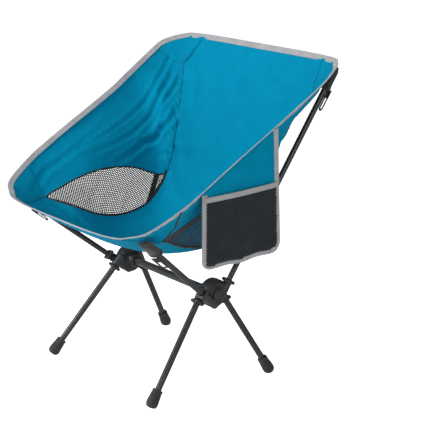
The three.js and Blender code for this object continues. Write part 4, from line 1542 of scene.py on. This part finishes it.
class TubeFrame:
    """Hubs, caps, crossbar, poles, legs and feet."""

    def __init__(self, finishes: Finishes, nodes: dict[str, bpy.types.Object], shift: float) -> None:
        """Keeps the finishes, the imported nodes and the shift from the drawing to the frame."""
        self.finishes = finishes
        self.nodes = nodes
        self.shift = shift

    def build(self) -> None:
        """Builds every piece of the frame."""
        self.hubs()
        for name in sorted(self.nodes):
            if name.endswith("_tube"):
                self.tube(name)
        for side in Side:
            for end in End:
                self.foot(side, end)
        for name, node in self.nodes.items():
            if "cord" in name:
                self.recolour(node, self.finishes.cord)
            elif name.endswith("_tip"):
                self.recolour(node, self.finishes.rubber)
            elif name.endswith("_ferrule"):
                self.recolour(node, self.finishes.ferrule)

    def recolour(self, node: bpy.types.Object, material: bpy.types.Material) -> None:
        """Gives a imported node, which keeps its shape, a better material."""
        for slot in node.material_slots:
            slot.material = material

    def centre(self, side: Side) -> Vector:
        """A hub's centre, in metres."""
        x, y, z = HUB_CENTRE
        return Vector((x * side.value * MM, y * MM + self.shift, z * MM))

    def hubs(self) -> None:
        """Both hubs and their caps; the right one is the left one's mirror image."""
        shell = HubShell().build()
        mirrored = shell.copy()
        mirrored.data = shell.data.copy()
        bpy.context.scene.collection.objects.link(mirrored)
        mirrored.scale = (-1, 1, 1)
        settle(mirrored)
        with editing(mirrored):
            bpy.ops.mesh.select_all(action="SELECT")
            bpy.ops.mesh.normals_make_consistent(inside=False)
        for side, obj in ((Side.LEFT, shell), (Side.RIGHT, mirrored)):
            put(obj, Matrix.Translation(self.centre(side)))
            obj.name = f"moulded_hub_{side.word}"
            dress(obj, "frame", self.finishes.hub, [f"hub_{side.word}"])
            cap = turned(f"domed_cap_{side.word}", [
                (0.05, 5.0), (5.5, 4.8), (9.4, 4.2), (10.2, 3.3), (10.9, 3.2), (11.5, 4.0), (12.4, 3.7),
                                                    (12.9, 2.8),
                (13, 0.3), (0.05, 0.3)])
            turn = basis(self.centre(side) + Vector((17 * MM * side.value, 0, 0)),
                         Vector((side.value, 0, 0)),
                         Vector((0, 0, 1)))
            put(cap, turn)
            dress(smooth(cap), "frame", self.finishes.hub, [f"hub_cap_{side.word}"])

    def axis(self, name: str) -> tuple[Matrix, float, float]:
        """Measures a packed tube.

        Args:
            name: The tube's node.

        Returns:
            A frame at its lower end with Z along it, its length and its radius, in millimetres.
        """
        points = np.unique(np.round([v.co for v in self.nodes[name].data.vertices], 6), axis=0)
        centre = points.mean(0)
        direction = np.linalg.svd(points - centre)[2][0]
        direction *= 1 if direction[2] + 0.01 * direction[0] > 0 else -1
        along = (points - centre) @ direction
        radius = np.linalg.norm(points - centre - np.outer(along, direction), axis=1).max()
        place = basis(Vector(centre + direction * along.min()), Vector(direction), Vector((1, 0.01, 0)))
        if abs(direction[0]) > 0.9:
            place = basis(Vector(centre + direction * along.min()), Vector(direction), Vector((0, 1, 0)))
        return place, float(np.ptp(along)) / MM, float(radius) / MM

    def tube(self, name: str) -> None:
        """A drawn tube with its wall and its chamfered ends."""
        place, length, radius = self.axis(name)
        inner, edge = radius - 0.85, 0.35
        profile = [(inner, edge), (inner + edge, 0), (radius - edge, 0), (radius, edge),
                   (radius, 0.5 * length),
                   (radius, length - edge), (radius - edge, length), (inner + edge, length),
                   (inner, length - edge),
                   (inner, edge)]
        tube = put(turned(f"drawn_{name}", profile), place)
        round_uv(tube, place)
        body = self.nodes[name]["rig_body"]
        dress(smooth(tube, 30), body, self.finishes.tube, [name])

    def foot(self, side: Side, end: End) -> None:
        """A rubber foot: a flared boot with a lip round the tube and a worn flat sole."""
        name = f"{end.value}_{side.word}_leg"
        x, y, z = LEG_ENDS[end]
        ball = Vector((x * side.value * MM, y * MM + self.shift, z * MM))
        direction = self.axis(f"{name}_tube")[0].to_3x3().col[2]
        profile = [(0.05, -12), (4.5, -11.8), (8.2, -10.8), (10.6, -8.6), (11.8, -5.4), (12.15, -1.5),
                   (12.1, 2.5),
                   (11.7, 7), (11.2, 12), (10.7, 17), (10.3, 21), (10.2, 22), (10.75, 22.7), (10.8, 25),
                   (10.3, 26.1),
                   (8.4, 26.4), (7.1, 26), (6.85, 25), (6.85, 12), (0.05, 12)]
        foot = put(turned(f"{end.value}_{side.word}_rubber_foot", profile),
                   basis(ball, direction, Vector((1, 0, 0))))
        with editing(foot):
            bpy.ops.mesh.select_all(action="SELECT")
            bpy.ops.mesh.bisect(plane_co=(0, 0, 0.0002), plane_no=(0, 0, 1), clear_inner=True,
                                use_fill=True)
        dress(smooth(foot, 38), name, self.finishes.rubber, [f"{name}_foot"])


# ---------------------------------------------------------------- corners


@dataclass
class CornerFittings:
    """The pouches that take the pole tips, with their webbing pull loops, in millimetres."""

    surface: SlingSurface
    finishes: Finishes
    width: float = 27.0
    thickness: float = 16.0
    length: float = 50.0
    beyond_tip: float = 10.0
    loop_width: float = 16.0
    loop_length: float = 46.0
    strap: float = 4.5
    loop_drop: float = 10.5

    def build(self) -> None:
        """Builds the four corners."""
        for side in Side:
            for end in End:
                place = self.place(side, end)
                loop = self.pull_loop(side, end, place)
                self.pouch(side, end, place, loop)

    def place(self, side: Side, end: End) -> Matrix:
        """The frame of a pouch: Y runs along the pole to the hub and Z away from the cloth.

        Args:
            side: The side.
            end: The end.

        Returns:
            The frame.
        """
        line = Line.between(POLE_STARTS[end], POLE_ENDS[end])
        far = (Vector(POLE_ENDS[end]) + line.direction * self.beyond_tip) * MM
        along = line.direction.copy()
        far.x *= side.value
        along.x *= side.value
        far.y += self.surface.shift
        station = 0.9 if end is End.FRONT else LAST - 1
        step = 0.02
        s, r = np.array([station - step, station + step]), np.array([1.0, 1.0]) * side.value
        forward = np.diff(self.surface.design(s, r), axis=0)[0]
        sideways = np.diff(self.surface.design(np.full(2, station), r[:1] + np.array([-step, step])),
                           axis=0)[0]
        normal = Vector(np.cross(sideways, forward)).normalized()
        y = -along
        z = y.cross(-normal).cross(y).normalized()
        x = y.cross(z)
        return Matrix.Translation(far) @ Matrix((x, y, z)).transposed().to_4x4()

    def ring(self, half_width: float, half_height: float, count: int = 40) -> Array:
        """A flattened round section.

        Args:
            half_width: Half its width.
            half_height: Half its height.
            count: Points round it.

        Returns:
            Points by 2, in millimetres.
        """
        turn = 2 * np.pi * np.arange(count) / count
        c, s = np.cos(turn), np.sin(turn)
        power = 2 / 2.6
        return np.stack([half_width * np.sign(c) * np.abs(c) ** power,
                         half_height * np.sign(s) * np.abs(s) ** power], -1)

    def sleeve(self, name: str, sections: Sequence[tuple[float, float, float]],
               place: Matrix) -> bpy.types.Object:
        """A sleeve of cloth through flattened round sections.

        Args:
            name: The object's name.
            sections: For each, its place along Y, its half width and its half height.
            place: The sleeve's frame.

        Returns:
            The sleeve.
        """
        rings = [self.ring(w, h) for _, w, h in sections]
        points = np.stack([np.stack([r[:, 0], np.full(len(r), y), r[:, 1]], -1) for r,
                           (y, _, _) in zip(rings, sections)], 1)
        matrix = np.array(place)
        world = points * MM @ matrix[:3, :3].T + matrix[:3, 3]
        around = lengths(np.vstack([rings[-1], rings[-1][:1]])) * MM
        along = np.array([y for y, _, _ in sections]) * MM
        uv = np.stack(np.broadcast_arrays(around[:, None], along[None, :]), -1)
        return thicken(cloth_mesh(name, world, uv, True), 0.8)

    def pouch(self, side: Side, end: End, place: Matrix, loop: bpy.types.Object) -> None:
        """A sewn pouch: flat at its closed end, puffed over the tip, with a hemmed mouth."""
        w, h, n = self.width / 2 - 0.5, self.thickness / 2 - 0.5, self.length
        name = f"{end.value}_{side.word}"
        sections = [(0.6, w, 0.45), (2.5, w, 0.9), (4, w, 2.2), (6, w - 0.3, 4.4), (9, w - 0.8, 6.4),
                    (13, w - 1, h),
                    (22, w - 0.7, h - 0.2), (32, w - 0.3, h - 0.5), (42, w, h - 0.2), (47, w, h),
                    (n - 0.4, w, h)]
        pouch = self.sleeve(f"{name}_tip_pouch", sections, place)
        dress(pouch, "frame", self.finishes.pouch, [f"{name}_pouch"])
        hem = self.sleeve(f"{name}_pouch_hem", [(n - 7, w + 0.25, h + 0.2), (n - 6.2, w + 0.8, h + 0.8),
                                                (n - 3, w + 0.9, h + 0.9), (n - 0.4, w + 0.7, h + 0.7)],
                          place)
        dress(hem, "frame", self.finishes.webbing)

    def pull_loop(self, side: Side, end: End, place: Matrix) -> bpy.types.Object:
        """A loop of narrow webbing on a sewn tab.

        Args:
            side: The side.
            end: The end.
            place: The pouch's frame.

        Returns:
            The loop.
        """
        bend = (self.loop_width - self.strap) / 2
        top = self.loop_length - self.strap / 2 - bend
        turn = np.linspace(0, np.pi, 19)
        path = np.concatenate([
            np.stack([np.full(9, -bend), np.linspace(6, top, 9)], -1)[:-1],
            np.stack([-bend * np.cos(turn), top + bend * np.sin(turn)], -1),
            np.stack([np.full(9, bend), np.linspace(top, 6, 9)], -1)[1:],
        ])
        tangent = unit(np.gradient(path, axis=0))
        across = np.stack([tangent[:, 1], -tangent[:, 0]], -1)
        half, thick = self.strap / 2, 0.85
        section = [(half, 0), (half * 0.93, 0.75 * thick), (half * 0.5, thick), (0, 0.94 * thick),
                   (-half * 0.5, thick),
                   (-half * 0.93, 0.75 * thick), (-half, 0)]
        section += [(a, -b) for a, b in reversed(section[1:-1])]
        rows = [np.concatenate([path + across * a, np.full((len(path), 1), 0.9 + b)], 1) for a,
                b in section]
        around = np.arange(len(section) + 1) * 0.001
        uv = np.stack(np.broadcast_arrays(around[:, None], lengths(path)[None, :] * MM), -1)
        strap = cloth_mesh("strap", np.stack(rows) * MM, uv, True)
        deselect()
        bpy.ops.mesh.primitive_cube_add(size=1, location=(0, 9 * MM, 0.9 * MM))
        tab = bpy.context.object
        tab.scale = (self.loop_width * MM, 17.6 * MM, 1.9 * MM)
        settle(tab)
        with editing(tab, "EDGE"):
            bpy.ops.mesh.select_all(action="SELECT")
            bpy.ops.mesh.bevel(offset=0.5 * MM, segments=2, affect="EDGES")
            bpy.ops.mesh.select_all(action="SELECT")
            bpy.ops.uv.smart_project(scale_to_bounds=False)
        name = f"{end.value}_{side.word}"
        loop = joined(f"{name}_webbing_loop", [strap, tab])
        shift = Matrix.Translation((0, (self.length - 3) * MM, self.loop_drop * MM))
        put(loop, place @ shift)
        return dress(smooth(loop, 50), f"{name}_loop", self.finishes.webbing,
                     [f"{name}_pull_loop"])


# ---------------------------------------------------------------- the side pocket


@dataclass
class SidePocket:
    """The flap that hangs from the left rim, with its taped edges and its mesh pocket, in millimetres."""

    surface: SlingSurface
    finishes: Finishes
    x: float = 274.9
    front: float = -104.5
    rear: float = 77.0
    bottom_front: float = 296.0
    bottom_rear: float = 300.0
    bottom_back: float = 88.5
    corner: float = 18.0
    tape_width: float = 11.0
    mouth_front: float = 437.5
    mouth_rear: float = 442.5
    depth: float = 5.0
    rim_rise: float = 0.575
    rim_at_front: float = 446.4
    top_gap: float = 3.5
    rim_lengthening: float = 1.153

    def build(self) -> None:
        """Builds the pocket."""
        tape = self.side_tape()
        mouth = self.mouth_tape()
        self.mesh_front()
        self.flap()
        self.hinge_strip()

    @property
    def width(self) -> float:
        """The flap's width along its bottom edge."""
        return self.bottom_back - self.front

    @property
    def height(self) -> float:
        """The flap's height at its middle."""
        return self.rim_at_front + self.rim_rise * self.width / 2 - self.bottom_front

    def rim_height(self, y: Array) -> Array:
        """The rim's height over a place."""
        return self.rim_at_front + (y - self.front) * self.rim_rise

    def spot(self, a: Array, b: Array, out: Array) -> Array:
        """A point of the flap.

        Args:
            a: 0 at its front edge, 1 at its rear edge.
            b: 0 at its bottom, 1 at its top.
            out: Millimetres out from it.

        Returns:
            The point, in metres.
        """
        low_y = self.front + (self.bottom_back - self.front) * a
        high_y = self.front + (self.rear - self.front) * a
        low_z = self.bottom_front + (self.bottom_rear - self.bottom_front) * a
        y = low_y + (high_y - low_y) * b
        z = low_z + (self.rim_height(high_y) - self.top_gap - low_z) * b
        wave = (1.1 * np.sin(2.3 * np.pi * a + 0.6) * (1 - b) ** 1.5
                + 1.6 * np.sin(np.pi * a) * np.sin(np.pi * b))
        z += (5.0 * (2 * a - 1) ** 2 - 1.5 * np.sin(5 * np.pi * a)) * (1 - b) ** 3
        return np.stack([self.x + wave + out, y + self.surface.shift / MM, z], -1) * MM

    def shares(self, y: Array, z: Array) -> tuple[Array, Array]:
        """Where a place in the plane of Y and Z lies on the flap."""
        b = np.full(np.shape(y), 0.5)
        for _ in range(6):
            a = (y - self.front) / ((self.bottom_back - self.front) * (1 - b) + (self.rear - self.front) * b)
            low = self.bottom_front + (self.bottom_rear - self.bottom_front) * a
            high = self.rim_height(self.front + (self.rear - self.front) * a) - self.top_gap
            b = (z - low) / (high - low)
        return a, b

    def narrowing(self, b: Array) -> Array:
        """The share of the width that the rounded bottom corners take at each side."""
        left = np.maximum(self.corner - b * self.height, 0)
        return (self.corner - np.sqrt(self.corner ** 2 - left ** 2)) / self.width

    def flap(self) -> None:
        """The flap's cloth."""
        b = np.concatenate([np.linspace(0.015, 0.1, 14)[:-1], np.linspace(0.1, 1, 70)])
        side = self.narrowing(b)[:, None]
        a = side + (1 - 2 * side) * np.linspace(0.006, 0.994, 60)
        bb = np.repeat(b[:, None], 60, 1)
        points = self.spot(a, bb, 0.0)
        uv = points[..., 1:].copy()
        obj = cloth_mesh("pocket_flap_cloth", points, uv)
        thicken(obj, 0.7)
        dress(obj, "pocket", self.finishes.teal, ["pocket_panel"])

    def outline(self) -> tuple[Array, Array]:
        """The flap's free edge from its front top to its rear top, as shares."""
        turn = np.linspace(0, np.pi / 2, 12)
        ra, rb = self.corner / self.width, self.corner / self.height
        corner_a, corner_b = ra * (1 - np.cos(turn)), rb * (1 - np.sin(turn))
        b_down = np.linspace(1, rb, 60)[:-1]
        a_run = np.linspace(ra, 1 - ra, 60)[1:-1]
        a = np.concatenate([b_down * 0, corner_a, a_run, 1 - corner_a[::-1], b_down * 0 + 1])
        b = np.concatenate([b_down, corner_b, a_run * 0, corner_b[::-1], b_down[::-1]])
        return a, b

    def side_tape(self) -> bpy.types.Object:
        """The tape folded round the flap's free edge."""
        a, b = self.outline()
        line = self.spot(a, b, 0.0)
        index, _ = spaced(line, 2.6 * MM)
        points = np.stack([np.interp(index, np.arange(len(line)), line[:, k]) for k in range(3)], -1)
        normal = np.tile([1.0, 0.0, 0.0], (len(points), 1))
        inward = unit(np.cross(normal, np.gradient(points, axis=0)))
        tape = Tape(width=self.tape_width, stands=0.9).folded("pocket_tape", points, inward, normal,
                                                              False)
        dress(tape, "pocket", self.finishes.tape, ["pocket_binding"])
        path = points + inward * 9 * MM + normal * 1.0 * MM
        stitches = Stitching().sew("pocket_tape_stitches", path, normal)
        dress(stitches, "pocket", self.finishes.thread)
        return tape

    def bulge(self, a: Array, b: Array) -> Array:
        """How far the mesh stands out from the flap, in millimetres."""
        across = np.sin(np.pi * np.clip(a, 0, 1)) ** 0.6
        up = np.clip(b / 0.75, 0, 1) ** 0.5
        return 0.9 + self.depth * across * (0.35 + 0.65 * up) * np.clip(b / 0.06, 0, 1)

    def mesh_front(self) -> None:
        """The pocket's mesh, from the side tapes and the bottom up to the mouth."""
        inset = self.tape_width - 2.5

        def inside(y: Array, z: Array) -> Array:
            """Whether a place, in metres, is on the mesh."""
            a, b = self.shares(y / MM, z / MM)
            top = self.mouth_front + (self.mouth_rear - self.mouth_front) * a
            side = self.narrowing(np.clip(b, 0, 1)) + inset / self.width
            return (a > side) & (a < 1 - side) & (b > inset / self.height) & (z / MM < top - 1.5)

        def to_surface(y: Array, z: Array) -> Array:
            """A flat place onto the bulged pocket."""
            a, b = self.shares(y / MM, z / MM)
            return self.spot(a, b, self.bulge(a, b))

        span = (self.front * MM, self.bottom_back * MM, self.bottom_rear * MM, self.mouth_rear * MM)
        net = Net(pitch=3.4, hole=0.4, yarn=0.45)
        obj = net.knit("pocket_mesh_front", inside, to_surface, span)
        dress(obj, "pocket", self.finishes.net, ["pocket_mesh"])

    def mouth_tape(self) -> bpy.types.Object:
        """The tape folded over the mesh's top edge."""
        a = np.linspace(0.012, 0.988, 80)
        z = self.mouth_front + (self.mouth_rear - self.mouth_front) * a
        y = self.front + (self.rear + 4 - self.front) * a
        a, b = self.shares(y, z)
        points = self.spot(a, b, self.bulge(a, b) + 0.2)
        normal = np.tile([1.0, 0.0, 0.0], (len(points), 1))
        inward = unit(np.cross(normal, np.gradient(points, axis=0)))
        inward *= -np.sign(inward[:, 2:3])
        tape = Tape(width=9.5, stands=0.8).folded("pocket_mouth_tape", points, inward, normal, False)
        dress(tape, "pocket", self.finishes.tape)
        path = points + inward * 7.8 * MM + normal * 1.0 * MM
        stitches = Stitching().sew("pocket_mouth_stitches", path, normal)
        dress(stitches, "pocket", self.finishes.thread)
        return tape

    def hinge_strip(self) -> None:
        """The sewn strip that joins the flap to the rim."""
        y = np.linspace(self.front + 1, self.rear - 1, 60)
        top = self.rim_height(y)
        rows = []
        for drop, out in ((0.6, -1.6), (2.0, -0.9), (3.4, -0.5), (5.5, -0.45), (9.0, -0.45)):
            rows.append(np.stack([np.full(60, self.x + out), y + self.surface.shift / MM, top - drop],
                                 -1))
        points = np.stack(rows, 1) * MM
        obj = cloth_mesh("pocket_hinge_strip", points[:, ::-1], points[:, ::-1, 1:].copy())
        thicken(obj, 0.6)
        dress(obj, "", self.finishes.teal)
        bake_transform(obj)


# ---------------------------------------------------------------- the studio


@dataclass(frozen=True)
class SoftBox:
    """A soft area light."""

    name: str
    place: tuple[float, float, float]
    aim: tuple[float, float, float]
    width: float
    power: float

    def build(self) -> None:
        """Makes the light."""
        light = bpy.data.lights.new(self.name, "AREA")
        light.shape = "RECTANGLE"
        light.size = light.size_y = self.width
        light.energy = self.power
        obj = bpy.data.objects.new(self.name, light)
        obj.location = self.place
        obj.rotation_euler = (Vector(self.place) - Vector(self.aim)).to_track_quat("Z", "Y").to_euler()
        bpy.context.scene.collection.objects.link(obj)


@dataclass(frozen=True)
class Studio:
    """Camera, soft lights and a plain floor."""

    place: tuple[float, float, float] = (2.1161, -1.5892, 1.0685)
    target: tuple[float, float, float] = (0.0160, 0.0048, 0.3274)
    lens: float = 110.8
    shift_across: float = 0.1
    ambient: float = 0.33
    floor_glow: float = 0.8
    floor_bounce: float = 0.06
    lights: tuple[SoftBox, ...] = (
        SoftBox("key_box", (-1.0, -2.7, 1.5), (0.0, 0.0, 0.45), 0.9, 88.0),
        SoftBox("side_box", (2.8, -0.9, 0.9), (0.0, 0.0, 0.4), 1.3, 24.0),
        SoftBox("top_box", (-0.3, 0.6, 2.9), (0.0, 0.0, 0.4), 1.4, 12.0),
    )

    def build(self) -> None:
        """Makes everything in the studio."""
        scene = bpy.context.scene
        scene.view_settings.view_transform = "Standard"
        camera = bpy.data.objects.new("camera", bpy.data.cameras.new("camera"))
        camera.location = self.place
        camera.rotation_mode = "QUATERNION"
        camera.rotation_quaternion = (Vector(self.place) - Vector(self.target)).to_track_quat("Z", "Y")
        camera.data.lens = self.lens
        camera.data.shift_x = self.shift_across
        scene.collection.objects.link(camera)
        scene.camera = camera
        for light in self.lights:
            light.build()
        world = bpy.data.worlds.new("soft_white")
        world.use_nodes = True
        graph = Graph(world.node_tree)
        seen = graph.add("LightPath").outputs["Is Camera Ray"]
        backdrop = world.node_tree.nodes["Background"]
        backdrop.inputs[0].default_value = (1, 1, 1, 1)
        graph.put(graph.span(seen, 0.0, 1.0, self.ambient, 1.05), backdrop.inputs[1])
        scene.world = world
        deselect()
        bpy.ops.mesh.primitive_plane_add(size=14, location=(0, 0, 0))
        floor = bpy.context.object
        floor.name = "studio_floor"
        material, graph, shader = start_material("pale_floor")
        seen = graph.add("LightPath").outputs["Is Camera Ray"]
        graph.put(graph.span(seen, 0.0, 1.0, self.floor_bounce, self.floor_glow),
                  shader.inputs["Emission Strength"])
        shader.inputs["Emission Color"].default_value = (1, 1, 1, 1)
        shader.inputs["Base Color"].default_value = (0.9, 0.9, 0.9, 1)
        shader.inputs["Roughness"].default_value = 0.9
        shader.inputs["Specular IOR Level"].default_value = 0.1
        floor.data.materials.append(material)


def main(packed: dict) -> None:
    """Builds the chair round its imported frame.
    """
    logging.basicConfig(level=logging.INFO, format="%(name)s: %(message)s", stream=sys.stdout)
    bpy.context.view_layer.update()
    low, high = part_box("crossbar_tube")
    shift = (low.y + high.y) / 2 - HUB_CENTRE[1] * MM
    Studio().build()
    finishes = Finishes()
    TubeFrame(finishes, packed["nodes"], shift).build()
    surface = SlingSurface(shift)
    Sling(surface, finishes).build()
    CornerFittings(surface, finishes).build()
    SidePocket(surface, finishes).build()


if __name__ == "__main__":
    main(frame)
